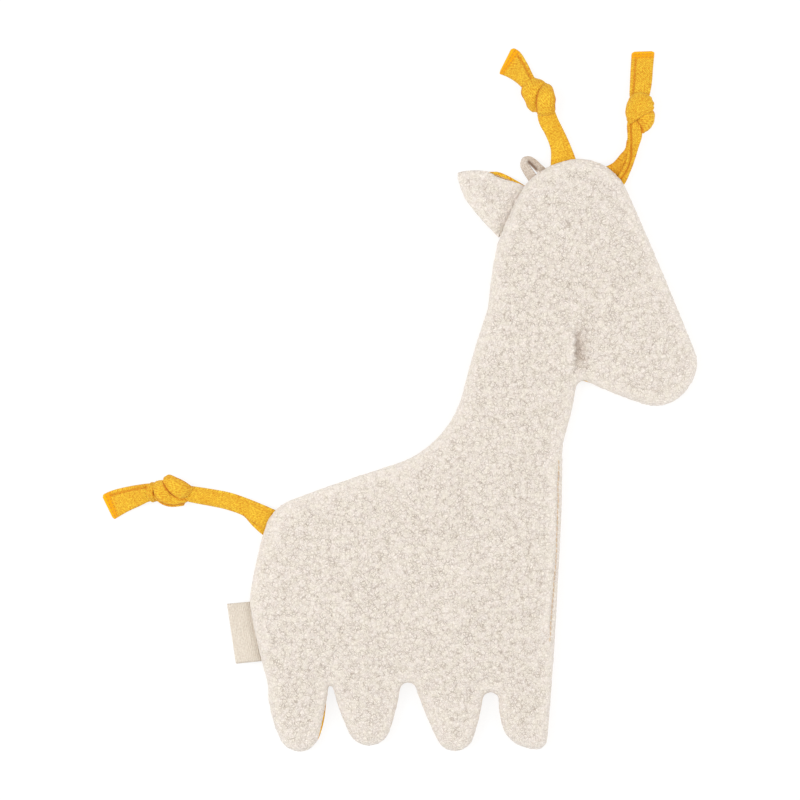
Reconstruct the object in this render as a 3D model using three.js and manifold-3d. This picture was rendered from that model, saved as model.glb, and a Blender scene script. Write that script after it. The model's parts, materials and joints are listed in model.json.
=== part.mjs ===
// Flat giraffe comforter with crackling film inside, lying on its front panel.
// Millimetres. X runs along the back towards the snout, Y up the neck, Z up from the floor.
import * as THREE from "three";
import { ConvexHull } from "three/addons/math/ConvexHull.js";
import { mergeVertices } from "three/addons/utils/BufferGeometryUtils.js";
import Module from "manifold-3d";

// Cutting pattern: the corners of the outline, anticlockwise, with the radius that rounds each.
// Heights are from the foot line, lengths from the rump.
const pattern = {
  crownBack: { x: 114.8, y: 239.3, radius: 17.3 },
  napeHigh: { x: 103.7, y: 213.1, radius: 18.0 },
  napeLow: { x: 99.7, y: 185.7, radius: 42.1 },
  withers: { x: 82.6, y: 127.6, radius: 41.9 },
  rumpTop: { x: 8.1, y: 102.0, radius: 8.3 },
  rumpLow: { x: -0.9, y: 63.0, radius: 23.6 },
  firstFoot: { x: 21.6, y: -36.0, radius: 9.3 },
  firstGap: { x: 33.6, y: 28.5, radius: 1.2 },
  secondFoot: { x: 51.7, y: -20.0, radius: 9.4 },
  secondGap: { x: 65.6, y: 35.6, radius: 3.3 },
  thirdFoot: { x: 88.3, y: -18.7, radius: 8.4 },
  thirdGap: { x: 102.1, y: 40.1, radius: 3.3 },
  frontHeel: { x: 106.5, y: 2.6, radius: 13.1 },
  frontToe: { x: 124.0, y: -0.5, radius: 4.1 },
  chestLow: { x: 129.7, y: 75.4, radius: 42.1 },
  chestTop: { x: 131.4, y: 128.0, radius: 25.6 },
  throat: { x: 137.9, y: 156.0, radius: 3.4 },
  snoutLow: { x: 176.8, y: 140.5, radius: 16.8 },
  snoutTop: { x: 188.5, y: 163.3, radius: 11.9 },
  crownFront: { x: 149.8, y: 255.3, radius: 22.0 },
};

// Thicknesses of the layers, from the floor up
const gap = 0.3;
const frontCloth = 1.2;
const filmThickness = 0.3;
const waddingThickness = 3.4;
const backCloth = 2.5;
const crownRise = 2.4;
const crownReach = 14;

// Fullness of the straight edges between the corners
const edgeBow = 0.4;

// Edge of the body: the two panels roll in to the seam, which lies in the groove between them
const seamHeight = 2.85;
const grooveDepth = 1.4;
const topRollWidth = 5;
const footRollWidth = 1.6;
const frontEdgeHeight = 1.3;
const backEdgeHeight = 4.9;
const panelWall = 1.4;
const seamThread = 0.6;
const seamInset = 0.55;

// Closing seam on the chest, sewn through the rolled edge and drawn in
const closingStart = { x: 130.0, y: 121.0 };
const closingEnd = { x: 125.6, y: 44.1 };
const closingDip = 1.3;
const closingThread = 0.7;

// Sewn-in straps. The cloth keeps one cross-section area, flat at the root and the hem and bunched into a
// strand in the knot. Neck and end points lie in the seat's frame, with Y pointing out of the body.
const strapCloth = 1.6;
const strapArea = 19;
const strapClearance = 1;
const strandWidth = 7;
const strandSize = 3.4;
const strandsHigh = 3;
const strapStitchThread = 0.5;
const stitchFromEdge = 1.9;
const hemDepth = 2.1;
const rearHorn = {
  seat: { x: 131.7, y: 246.3 },
  rootWidth: 11,
  neck: [{ x: 0.7, y: 8, width: 7.4 }, { x: -0.6, y: 17, width: 6.2 }],
  knot: { x: -2.0, y: 28.2, side: 1 },
  end: [{ x: -4.6, y: 36.5, width: 6.8 }, { x: -10.2, y: 46, width: 12 }],
};
const frontHorn = {
  seat: { x: 153.1, y: 241.3 },
  rootWidth: 10.5,
  neck: [{ x: -1.4, y: 8, width: 6.6 }, { x: -5.0, y: 15, width: 6.0 }],
  knot: { x: -10.6, y: 24.4, side: -1 },
  end: [{ x: -16.2, y: 31, width: 8.4 }, { x: -27.2, y: 43.4, width: 8.8 }],
};
const tailStrap = {
  seat: { x: 7.8, y: 95.3 },
  rootWidth: 11.5,
  neck: [{ x: 2.9, y: 8, width: 8.4 }, { x: 3.8, y: 20, width: 7 }, { x: 2.4, y: 30, width: 6.4 }],
  knot: { x: 0.6, y: 40.9, side: 1 },
  end: [{ x: -4.2, y: 51, width: 8 }, { x: -13.2, y: 62.6, width: 11.5 }],
};

// Ear: two layers sewn together, corners in the ear's own frame with Y pointing out of the head
const earSeat = { x: 110.0, y: 226.2 };
const earBase = 24;
const earSwing = 3.3;
const earPattern = [
  { x: -12.5, y: -earSwing + gap, radius: 0.6 },
  { x: 12.0, y: -earSwing + gap, radius: 0.6 },
  { x: 11.3, y: 13.5, radius: 8 },
  { x: 5.6, y: 23.4, radius: 1.8 },
  { x: -4.6, y: 16.8, radius: 12 },
];
const earBackCloth = 2.7;
const earLiningCloth = 1.2;
const earRoll = 1.5;
const earThread = 0.35;
const earSeamInset = 0.35;
const earSeamLift = 0.12;

// Hanging loop of narrow tape
const loopSeat = { x: 121.0, y: 241.9 };
const loopWidth = 9.2;
const loopReach = 8.6;
const loopLean = -1.6;
const loopTape = 3.8;
const loopTapeThickness = 1.5;

// Side label, a woven tape folded double
const labelSeat = { x: 2.5, y: 49.8 };
const labelLength = 25.4;
const labelReach = 8.4;
const labelTape = 0.5;
const labelFoldGap = 0.4;
const labelSkew = 0.09;

// Fineness of the facets
const arcStep = THREE.MathUtils.degToRad(24);
const straightStep = 13;
const fieldPitch = 12;
const ovalSides = 8;
const threadSides = 5;
const strapStep = 2.2;
const sampleStep = 0.5;
const closingSteps = 12;
const tightRollSteps = 2;
const topRollSteps = 3;
const loopSteps = 14;
const loopLimbSteps = 2;
const labelFoldSteps = 3;
const hemSteps = 4;

const wasm = await Module();
wasm.setup();
const alongSeam = new THREE.Vector3(1, 0, 0);
const outward = new THREE.Vector3(0, 1, 0);
const up = new THREE.Vector3(0, 0, 1);

// Rounded outline, moved inwards by an inset. Every inset gives the same count of points, so that the
// outlines can be lofted to each other.
function roundedOutline(corners, inset = 0) {
  const count = corners.length;
  const place = (corner) => new THREE.Vector2(corner.x, corner.y);
  const fillets = corners.map((corner, index) => {
    const here = place(corner);
    const back = place(corners[(index + count - 1) % count]).sub(here).normalize();
    const ahead = place(corners[(index + 1) % count]).sub(here).normalize();
    const half = Math.acos(back.dot(ahead)) / 2;
    const convex = ahead.cross(back) > 0;
    const inward = back.clone().add(ahead).normalize();
    const round = (shift) => {
      const radius = convex ? Math.max(corner.radius - shift, gap) : corner.radius + shift;
      const moved = convex ? shift : -shift;
      const tip = here.clone().addScaledVector(inward, moved / Math.sin(half));
      const reach = radius / Math.tan(half);
      return {
        radius,
        centre: tip.clone().addScaledVector(inward, radius / Math.sin(half)),
        start: tip.clone().addScaledVector(back, reach),
        end: tip.clone().addScaledVector(ahead, reach),
      };
    };
    const turn = (Math.PI - 2 * half) * (convex ? 1 : -1);
    return { ...round(inset), plain: round(0), turn };
  });
  const points = [];
  fillets.forEach((fillet, index) => {
    const arcSteps = Math.max(2, Math.ceil(Math.abs(fillet.turn) / arcStep));
    const spoke = fillet.start.clone().sub(fillet.centre);
    for (let step = 0; step <= arcSteps; step++) {
      const angle = (fillet.turn * step) / arcSteps;
      points.push(spoke.clone().rotateAround(new THREE.Vector2(), angle).add(fillet.centre));
    }
    const next = fillets[(index + 1) % count];
    const run = fillet.plain.end.distanceTo(next.plain.start);
    const runSteps = Math.max(1, Math.round(run / straightStep));
    const ahead = next.start.clone().sub(fillet.end).normalize();
    const out = new THREE.Vector2(ahead.y, -ahead.x);
    for (let step = 1; step < runSteps; step++) {
      const share = step / runSteps;
      const bow = 4 * edgeBow * share * (1 - share);
      points.push(fillet.end.clone().lerp(next.start, share).addScaledVector(out, bow));
    }
  });
  return points;
}

// Levels of a rolled edge, a quarter of an ellipse between two heights
function roll(width, lowZ, highZ, steps, inwardAtTop) {
  const levels = [];
  for (let step = 0; step <= steps; step++) {
    const angle = (step / steps) * (Math.PI / 2);
    const inset = inwardAtTop ? width * (1 - Math.cos(angle)) : width * (1 - Math.sin(angle));
    const rise = inwardAtTop ? Math.sin(angle) : 1 - Math.cos(angle);
    levels.push({ inset, z: lowZ + (highZ - lowZ) * rise });
  }
  return levels;
}

function solidFrom(vertices, triangles) {
  const geometry = new THREE.BufferGeometry();
  geometry.setAttribute("position", new THREE.Float32BufferAttribute(vertices, 3));
  geometry.setIndex(triangles);
  return geometry;
}

// Closed solid lofted through rings of equal count, anticlockwise seen from above. The first ring's cap
// faces down and the last one's up. A face over the last ring can be given as extra vertices and triangles.
function loftRings(rings, face) {
  const count = rings[0].length;
  const vertices = rings.flat().flatMap((point) => point.toArray());
  const triangles = [];
  for (let level = 0; level + 1 < rings.length; level++) {
    for (let side = 0; side < count; side++) {
      const low = level * count + side;
      const lowNext = level * count + ((side + 1) % count);
      triangles.push(low, lowNext, lowNext + count, low, lowNext + count, low + count);
    }
  }
  const flat = (ring) => ring.map((point) => new THREE.Vector2(point.x, point.y));
  for (const [a, b, c] of THREE.ShapeUtils.triangulateShape(flat(rings[0]), [])) {
    triangles.push(a, c, b);
  }
  const lastStart = (rings.length - 1) * count;
  if (face) {
    vertices.push(...face.points.flatMap((point) => point.toArray()));
    triangles.push(...face.triangles.map((index) => index + lastStart));
  } else {
    for (const corner of THREE.ShapeUtils.triangulateShape(flat(rings.at(-1)), []).flat()) {
      triangles.push(corner + lastStart);
    }
  }
  return solidFrom(vertices, triangles);
}

function ringsAt(corners, levels) {
  return levels.map(({ inset, z }) =>
    roundedOutline(corners, inset).map((point) => new THREE.Vector3(point.x, point.y, z)),
  );
}

// Closed hoop of thread that follows an outline
function threadHoop(corners, inset, z, diameter) {
  const radius = diameter / 2;
  const levels = [];
  for (let side = 0; side < threadSides; side++) {
    const angle = (-side / threadSides) * 2 * Math.PI;
    levels.push({ inset: inset + radius * Math.cos(angle), z: z + radius * Math.sin(angle) });
  }
  const rings = ringsAt(corners, levels);
  const count = rings[0].length;
  const triangles = [];
  for (let level = 0; level < threadSides; level++) {
    const nextLevel = (level + 1) % threadSides;
    for (let point = 0; point < count; point++) {
      const nextPoint = (point + 1) % count;
      const [a, b] = [level * count + point, level * count + nextPoint];
      const [c, d] = [nextLevel * count + nextPoint, nextLevel * count + point];
      triangles.push(a, b, c, a, c, d);
    }
  }
  return solidFrom(rings.flat().flatMap((point) => point.toArray()), triangles);
}

// Oval rings at stations along a path, each with its place, the way its flat side faces, and its size
function ringsAlong(stations, sides) {
  return stations.map((station, index) => {
    const before = stations[Math.max(index - 1, 0)].at;
    const after = stations[Math.min(index + 1, stations.length - 1)].at;
    const along = after.clone().sub(before).normalize();
    const across = along.clone().cross(station.face).normalize();
    const face = across.clone().cross(along);
    const ring = [];
    for (let side = 0; side < sides; side++) {
      const angle = ((side + 0.5) / sides) * 2 * Math.PI;
      const point = station.at.clone();
      point.addScaledVector(across, (Math.cos(angle) * station.width) / 2);
      ring.push(point.addScaledVector(face, (Math.sin(angle) * station.thickness) / 2));
    }
    return ring;
  });
}

function tube(rings) {
  const sides = rings[0].length;
  const last = (rings.length - 1) * sides;
  const triangles = [];
  for (let level = 0; level + 1 < rings.length; level++) {
    for (let side = 0; side < sides; side++) {
      const low = level * sides + side;
      const lowNext = level * sides + ((side + 1) % sides);
      triangles.push(low, lowNext + sides, lowNext, low, low + sides, lowNext + sides);
    }
  }
  for (let side = 1; side + 1 < sides; side++) {
    triangles.push(0, side, side + 1, last, last + side + 1, last + side);
  }
  return solidFrom(rings.flat().flatMap((point) => point.toArray()), triangles);
}

function threadAlong(points, face, diameter) {
  const stations = points.map((at) => ({ at, face, width: diameter, thickness: diameter }));
  return tube(ringsAlong(stations, threadSides));
}

function join(geometries) {
  const solids = geometries.map((geometry) => {
    const merged = mergeVertices(geometry);
    return new wasm.Manifold(
      new wasm.Mesh({
        numProp: 3,
        vertProperties: merged.attributes.position.array,
        triVerts: new Uint32Array(merged.index.array),
      }),
    );
  });
  const mesh = solids.reduce((whole, solid) => whole.add(solid)).getMesh();
  return solidFrom(mesh.vertProperties, Array.from(mesh.triVerts));
}

// Body outline and the distance of a point from it
const bodyCorners = Object.values(pattern);
const bodyEdge = roundedOutline(bodyCorners);
const edgeRuns = bodyEdge.map((start, index) => {
  const end = bodyEdge[(index + 1) % bodyEdge.length];
  return new THREE.Line3(new THREE.Vector3(start.x, start.y, 0), new THREE.Vector3(end.x, end.y, 0));
});
const foot = new THREE.Vector3();

function distanceToEdge(point) {
  const flat = new THREE.Vector3(point.x, point.y, 0);
  return Math.min(...edgeRuns.map((run) => run.closestPointToPoint(flat, true, foot).distanceTo(flat)));
}

function insideRing(point, ring) {
  let inside = false;
  ring.forEach((start, index) => {
    const end = ring[(index + 1) % ring.length];
    const crosses = start.y > point.y !== end.y > point.y;
    if (crosses && point.x < start.x + ((point.y - start.y) * (end.x - start.x)) / (end.y - start.y)) {
      inside = !inside;
    }
  });
  return inside;
}

// Crowned face over a ring: a triangular field of points, higher the further they lie from the outline,
// joined by the lower hull of the points lifted onto a paraboloid.
function crownFace(ring, ringInset) {
  const bounds = new THREE.Box3().setFromPoints(ring);
  const points = [];
  const rowPitch = fieldPitch * Math.sin(Math.PI / 3);
  for (let row = 0; bounds.min.y + row * rowPitch < bounds.max.y; row++) {
    for (let column = 0; bounds.min.x + column * fieldPitch < bounds.max.x; column++) {
      const x = bounds.min.x + (column + (row % 2) / 2) * fieldPitch;
      const point = new THREE.Vector3(x, bounds.min.y + row * rowPitch, 0);
      const depth = distanceToEdge(point) - ringInset;
      if (insideRing(point, ring) && depth > fieldPitch / 2) {
        point.z = ring[0].z + crownRise * (1 - Math.exp(-depth / crownReach));
        points.push(point);
      }
    }
  }
  const all = [...ring, ...points];
  const lifted = all.map((point) => new THREE.Vector3(point.x, point.y, point.x ** 2 + point.y ** 2));
  const order = new Map(lifted.map((point, index) => [point, index]));
  const triangles = [];
  for (const hullFace of new ConvexHull().setFromPoints(lifted).faces) {
    const corners = [0, 1, 2].map((edge) => order.get(hullFace.getEdge(edge).head().point));
    const middle = new THREE.Vector3();
    corners.forEach((corner) => middle.addScaledVector(all[corner], 1 / 3));
    if (hullFace.normal.z < 0 && insideRing(middle, ring)) {
      triangles.push(corners[0], corners[2], corners[1]);
    }
  }
  return { points, triangles };
}

// Seat of a sewn-in piece: the nearest stretch of the seam, as long as the piece is wide. Its frame has X
// along the seam, Y out of the body and its origin on the fold line, a little outside the edge.
function seat(place, width, swing) {
  const at = new THREE.Vector2(place.x, place.y);
  const lengths = [0];
  bodyEdge.forEach((start, index) => {
    lengths.push(lengths[index] + start.distanceTo(bodyEdge[(index + 1) % bodyEdge.length]));
  });
  const total = lengths.at(-1);
  const along = (length) => {
    const wrapped = THREE.MathUtils.euclideanModulo(length, total);
    const index = lengths.findIndex((end) => end > wrapped) - 1;
    const share = (wrapped - lengths[index]) / (lengths[index + 1] - lengths[index]);
    return bodyEdge[index].clone().lerp(bodyEdge[(index + 1) % bodyEdge.length], share);
  };
  const samples = (first, last) => {
    const steps = Math.ceil((last - first) / sampleStep);
    return Array.from({ length: steps + 1 }, (_, step) => first + ((last - first) * step) / steps);
  };
  const nearest = samples(0, total).reduce((best, length) =>
    along(length).distanceTo(at) < along(best).distanceTo(at) ? length : best,
  );
  const start = along(nearest - width / 2);
  const end = along(nearest + width / 2);
  const run = end.clone().sub(start).normalize();
  const out = new THREE.Vector2(run.y, -run.x);
  const middle = start.clone().lerp(end, 0.5);
  const stretch = samples(nearest - width / 2, nearest + width / 2).map(along);
  const bulge = Math.max(...stretch.map((point) => point.sub(middle).dot(out)));
  const group = new THREE.Group();
  group.position.set(...middle.addScaledVector(out, bulge + swing).toArray(), seamHeight);
  group.rotation.z = Math.atan2(out.y, out.x) - Math.PI / 2;
  return group;
}

const comforter = new THREE.Group();
const parts = new THREE.Group();
comforter.add(parts);

function piece(name, geometry, material, parent = parts) {
  const mesh = new THREE.Mesh(geometry, material);
  mesh.name = name;
  parent.add(mesh);
}

const cloth = (color, roughness) => new THREE.MeshStandardMaterial({ color, roughness, metalness: 0 });
const oatBoucle = cloth("#e6dbcf", 0.95);
const mustardJersey = cloth("#efb737", 0.85);
const mustardThread = cloth("#e09e1e", 0.7);
const tanThread = cloth("#b99468", 0.7);
const waddingWhite = cloth("#f3f1ec", 0.95);
const filmClear = cloth("#dfe3e6", 0.25);
const taupeTape = cloth("#ddcebf", 0.85);
const creamTape = cloth("#ebdfd1", 0.8);

// Front panel: a shallow tray of jersey, flat on the floor, rolled up at its edge to the seam
const seamLow = seamHeight - gap / 2;
const seamHigh = seamHeight + gap / 2;
const wallInset = grooveDepth + panelWall;
const frontLevels = [
  ...roll(footRollWidth, 0, frontEdgeHeight, tightRollSteps, false),
  ...roll(grooveDepth, frontEdgeHeight, seamLow, tightRollSteps, true).slice(1),
  { inset: wallInset, z: seamLow },
  { inset: wallInset + gap, z: frontCloth },
];
piece("front_panel", loftRings(ringsAt(bodyCorners, frontLevels)), mustardJersey);

// Crinkle film and wadding, cut to lie inside the walls
const filmZ = frontCloth + gap;
const fillInset = wallInset + 2 * gap;
const filmLevels = [
  { inset: fillInset + gap, z: filmZ },
  { inset: fillInset + gap, z: filmZ + filmThickness },
];
piece("crinkle_film", loftRings(ringsAt(bodyCorners, filmLevels)), filmClear);
const waddingZ = filmZ + filmThickness + gap;
const waddingTop = waddingZ + waddingThickness;
const ceiling = waddingTop + gap;
const waddingLevels = [
  { inset: fillInset, z: waddingZ },
  { inset: fillInset, z: seamHigh },
  { inset: fillInset + panelWall, z: waddingTop },
];
piece("wadding", loftRings(ringsAt(bodyCorners, waddingLevels)), waddingWhite);

// Back panel: a crowned shell of boucle over the wadding, drawn in along the closing seam
const rollTop = ceiling + backCloth;
const backLevels = [
  { inset: wallInset + panelWall, z: ceiling },
  { inset: wallInset, z: seamHigh },
  ...roll(grooveDepth, seamHigh, backEdgeHeight, tightRollSteps, false),
  ...roll(topRollWidth, backEdgeHeight, rollTop, topRollSteps, true).slice(1),
];
const backRings = ringsAt(bodyCorners, backLevels);
const closingRun = new THREE.Line3(
  new THREE.Vector3(closingStart.x, closingStart.y, 0),
  new THREE.Vector3(closingEnd.x, closingEnd.y, 0),
);
const closingRing = backRings.at(-2);
for (const point of closingRing) {
  const share = closingRun.closestPointToPointParameter(point, false);
  const away = closingRun.closestPointToPoint(point, true, foot).setZ(point.z).distanceTo(point);
  if (share > 0 && share < 1 && away < topRollWidth) {
    point.z -= closingDip;
  }
}
const crown = crownFace(backRings.at(-1), topRollWidth);
piece("back_panel", loftRings(backRings, crown), oatBoucle);
const closingLift = gap + closingThread / 2;
const closingPath = [];
for (let step = 0; step <= closingSteps; step++) {
  const wanted = closingRun.at(step / closingSteps, new THREE.Vector3());
  const onRing = closingRing.map((start, index) => {
    const end = closingRing[(index + 1) % closingRing.length];
    const flatRun = new THREE.Line3(start.clone().setZ(0), end.clone().setZ(0));
    return start.clone().lerp(end, flatRun.closestPointToPointParameter(wanted, true));
  });
  const away = (point) => Math.hypot(point.x - wanted.x, point.y - wanted.y);
  const nearest = onRing.reduce((best, point) => (away(point) < away(best) ? point : best));
  closingPath.push(nearest.setZ(nearest.z + closingLift));
}
piece("closing_stitch", threadAlong(closingPath, up, closingThread), tanThread);
piece("perimeter_seam", threadHoop(bodyCorners, seamInset, seamHeight, seamThread), tanThread);

// Route of an overhand knot, in strand sizes: along the strap, across it and up. The strand goes up the
// face, over the end, down behind, round the side and through its own arch.
const knotRoute = [
  [-1.9, 0.3, 0.35],
  [-1.0, 0.65, 0.9],
  [0.5, 0.8, 0.95],
  [1.35, 0.5, 0.05],
  [0.7, 0.1, -0.95],
  [-0.8, -0.5, -0.95],
  [-1.4, -0.95, 0.0],
  [-0.6, -0.85, 0.85],
  [0.2, -0.15, 0.15],
  [0.6, 0.85, -0.2],
  [1.5, 1.2, -0.15],
];
// Point of the route where the strand tucks under its arch, the points that part it into lengths that
// do not cross themselves, and how far the cloth's face leans with the route
const knotTuck = 8;
const knotBreaks = [3, 7];
const leanAlong = 1 / 2;
const leanAcross = 1 / 3;
const knotHalfHeight = (strandsHigh * strandSize) / 2;

function knottedStrap(name, strap) {
  const swing = strapCloth / 2 + strapClearance;
  const group = seat(strap.seat, strap.rootWidth, swing);
  parts.add(group);
  const onFloor = knotHalfHeight + gap - seamHeight;
  const entry = strap.neck.at(-1);
  const exit = strap.end[0];
  const along = new THREE.Vector3(exit.x - entry.x, exit.y - entry.y, 0).normalize();
  const across = up.clone().cross(along).multiplyScalar(strap.knot.side);
  const flat = ({ x, y, width }, z) => ({ at: new THREE.Vector3(x, y, z), face: up, width });
  const heart = new THREE.Vector3(strap.knot.x, strap.knot.y, onFloor);
  const knot = knotRoute.map(([ahead, aside, above], index) => {
    const offset = new THREE.Vector3().addScaledVector(along, ahead * strandSize);
    offset.addScaledVector(across, aside * strandSize).addScaledVector(up, above * strandSize);
    const outside = up.clone().multiplyScalar(above).addScaledVector(along, ahead * leanAlong);
    outside.addScaledVector(across, aside * leanAcross).normalize();
    const inner = index === 0 || index > knotTuck;
    return { at: heart.clone().add(offset), face: inner ? up : outside, width: strandWidth };
  });
  const root = { x: 0, y: gap - swing, width: strap.rootWidth };
  const lead = { x: 0, y: strapCloth, width: strap.rootWidth };
  const tip = strap.end.at(-1);
  const tipZ = strapCloth / 2 + gap - seamHeight;
  const controls = [
    flat(root, 0),
    flat(lead, 0),
    ...strap.neck.map((point, index) => flat(point, (onFloor * (index + 1)) / (strap.neck.length + 1))),
    ...knot,
    ...strap.end.slice(0, -1).map((point) => flat(point, onFloor / 2)),
    flat(tip, tipZ),
  ];
  const curve = new THREE.CatmullRomCurve3(controls.map(({ at }) => at), false, "centripetal");
  const stationAt = (share) => {
    const index = Math.min(Math.floor(share), controls.length - 2);
    const [from, to] = [controls[index], controls[index + 1]];
    const width = THREE.MathUtils.lerp(from.width, to.width, share - index);
    const face = from.face.clone().lerp(to.face, share - index).normalize();
    const at = curve.getPoint(share / (controls.length - 1));
    return { at, face, width, thickness: strapArea / width };
  };
  const stations = [stationAt(0)];
  const stationOf = [0];
  for (let span = 0; span + 1 < controls.length; span++) {
    const length = controls[span + 1].at.distanceTo(controls[span].at);
    const steps = Math.max(2, Math.round(length / strapStep));
    for (let step = 1; step <= steps; step++) {
      stations.push(stationAt(span + step / steps));
    }
    stationOf.push(stations.length - 1);
  }
  const rings = ringsAlong(stations, ovalSides);
  const knotStart = strap.neck.length + 2;
  const breaks = [0, ...knotBreaks.map((index) => stationOf[knotStart + index]), rings.length - 1];
  const lengths = breaks.slice(1).map((last, index) => tube(rings.slice(breaks[index], last + 1)));
  piece(name, join(lengths), mustardJersey, group);
  return { group, freeEnd: stations.slice(stationOf[knotStart + knot.length]) };
}

// Stitching of a strap's free end: down one edge and across the hem, on the upper face
function strapStitching(name, { group, freeEnd }, edge) {
  const lie = (station, index, aside) => {
    const before = freeEnd[Math.max(index - 1, 0)].at;
    const after = freeEnd[Math.min(index + 1, freeEnd.length - 1)].at;
    const across = after.clone().sub(before).cross(station.face).normalize();
    const half = station.width / 2 - stitchFromEdge;
    const share = (aside * half) / (station.width / 2);
    const surface = (station.thickness / 2) * Math.sqrt(1 - share ** 2);
    const point = station.at.clone().addScaledVector(across, aside * half);
    return point.addScaledVector(station.face, surface + gap + strapStitchThread / 2);
  };
  const tip = freeEnd.at(-1).at;
  const hemStart = freeEnd.findIndex((station) => station.at.distanceTo(tip) < hemDepth);
  const downEdge = freeEnd.slice(0, hemStart).map((station, index) => lie(station, index, edge));
  const acrossHem = Array.from({ length: hemSteps + 1 }, (_, step) =>
    lie(freeEnd[hemStart], hemStart, edge * (1 - (2 * step) / hemSteps)),
  );
  piece(name, threadAlong([...downEdge, ...acrossHem], up, strapStitchThread), mustardThread, group);
}

strapStitching("rear_horn_stitching", knottedStrap("rear_horn", rearHorn), 1);
strapStitching("front_horn_stitching", knottedStrap("front_horn", frontHorn), -1);
strapStitching("tail_stitching", knottedStrap("tail", tailStrap), 1);

// Ear: boucle above and jersey lining below, with their seam in the groove between them
const earGroup = seat(earSeat, earBase, earSwing);
parts.add(earGroup);
const earBackLevels = [
  ...roll(earRoll, gap / 2, earBackCloth / 2, tightRollSteps, false),
  ...roll(earRoll, earBackCloth / 2, earBackCloth, tightRollSteps, true).slice(1),
];
piece("ear_back", loftRings(ringsAt(earPattern, earBackLevels)), oatBoucle, earGroup);
const earLiningLevels = [
  ...roll(earRoll, -earLiningCloth, -earLiningCloth / 2, tightRollSteps, false),
  ...roll(earRoll, -earLiningCloth / 2, -gap / 2, tightRollSteps, true).slice(1),
];
piece("ear_lining", loftRings(ringsAt(earPattern, earLiningLevels)), mustardJersey, earGroup);
piece("ear_seam", threadHoop(earPattern, earSeamInset, earSeamLift, earThread), tanThread, earGroup);

// Hanging loop: a narrow tape sewn in at both ends, leaning towards the ear
const loopSwing = loopTapeThickness / 2 + 2 * gap;
const loopGroup = seat(loopSeat, loopWidth, loopSwing);
parts.add(loopGroup);
const loopHalf = (loopWidth - loopTape) / 2;
const loopBend = loopReach - loopTape / 2 - loopHalf;
const loopStations = [];
for (let step = -loopLimbSteps; step <= loopSteps + loopLimbSteps; step++) {
  const turn = THREE.MathUtils.clamp(step / loopSteps, 0, 1) * Math.PI;
  const straight = Math.max(-step, step - loopSteps, 0) / loopLimbSteps;
  const y = loopBend + loopHalf * Math.sin(turn) - straight * (loopBend + loopSwing - gap);
  const lean = (loopLean * Math.max(y, 0)) / loopReach;
  const at = new THREE.Vector3(lean - loopHalf * Math.cos(turn), y, 0);
  loopStations.push({ at, face: up, width: loopTape, thickness: loopTapeThickness });
}
piece("hanging_loop", tube(ringsAlong(loopStations, ovalSides)), taupeTape, loopGroup);

// Side label: a tape folded double, its fold outside and both ends in the seam
const labelThickness = 2 * labelTape + labelFoldGap;
const labelSwing = labelThickness / 2 + 2 * gap;
const labelGroup = seat(labelSeat, labelLength, labelSwing);
parts.add(labelGroup);
const labelRoot = gap - labelSwing;
const foldCentre = labelReach - labelThickness / 2;
const labelFold = new THREE.Shape();
labelFold.moveTo(labelRoot, -labelThickness / 2);
labelFold.lineTo(foldCentre, -labelThickness / 2);
labelFold.absarc(foldCentre, 0, labelThickness / 2, -Math.PI / 2, Math.PI / 2, false);
labelFold.lineTo(labelRoot, labelThickness / 2);
labelFold.lineTo(labelRoot, labelFoldGap / 2);
labelFold.lineTo(foldCentre, labelFoldGap / 2);
labelFold.absarc(foldCentre, 0, labelFoldGap / 2, Math.PI / 2, -Math.PI / 2, true);
labelFold.lineTo(labelRoot, -labelFoldGap / 2);
const labelGeometry = new THREE.ExtrudeGeometry(labelFold, {
  depth: labelLength,
  bevelEnabled: false,
  curveSegments: labelFoldSteps,
});
labelGeometry.translate(0, 0, -labelLength / 2);
labelGeometry.applyMatrix4(new THREE.Matrix4().makeBasis(outward, up, alongSeam));
labelGeometry.applyMatrix4(new THREE.Matrix4().makeShear(0, 0, labelSkew, 0, 0, 0));
piece("side_label", labelGeometry, creamTape, labelGroup);

// Move the origin to the middle of the footprint, on the floor
comforter.updateMatrixWorld(true);
const box = new THREE.Box3().setFromObject(comforter, true);
const centre = box.getCenter(new THREE.Vector3());
parts.position.set(-centre.x, -centre.y, -box.min.z);

export default comforter;
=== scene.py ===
import json
import math

import bpy
import numpy as np
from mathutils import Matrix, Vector, noise
from mathutils.geometry import delaunay_2d_cdt


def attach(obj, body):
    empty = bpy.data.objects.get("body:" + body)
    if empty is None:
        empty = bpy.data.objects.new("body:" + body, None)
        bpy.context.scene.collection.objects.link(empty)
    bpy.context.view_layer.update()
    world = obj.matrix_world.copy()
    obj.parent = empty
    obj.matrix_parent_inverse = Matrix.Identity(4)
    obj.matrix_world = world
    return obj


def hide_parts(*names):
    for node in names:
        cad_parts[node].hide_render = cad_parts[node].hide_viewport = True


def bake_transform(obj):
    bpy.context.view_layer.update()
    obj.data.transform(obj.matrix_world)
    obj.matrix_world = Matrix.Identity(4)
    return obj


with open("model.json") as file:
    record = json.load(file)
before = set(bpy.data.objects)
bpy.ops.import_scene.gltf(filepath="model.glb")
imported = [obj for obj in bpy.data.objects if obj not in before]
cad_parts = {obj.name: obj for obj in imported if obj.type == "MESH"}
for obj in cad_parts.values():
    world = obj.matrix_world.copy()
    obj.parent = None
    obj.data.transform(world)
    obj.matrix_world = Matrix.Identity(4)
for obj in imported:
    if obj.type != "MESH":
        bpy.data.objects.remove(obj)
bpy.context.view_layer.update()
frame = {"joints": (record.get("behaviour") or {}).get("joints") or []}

# Front panel: one cut of mustard cotton jersey in the outline of the giraffe, lying on the floor.
# Its edge rolls up to the seam, where it is sewn to the boucle back with the right sides together
# and turned, so that it just peeps out beside the first leg and at the throat.
mm = 0.001
pattern_middle = np.array([63.15, 146.97])
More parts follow.
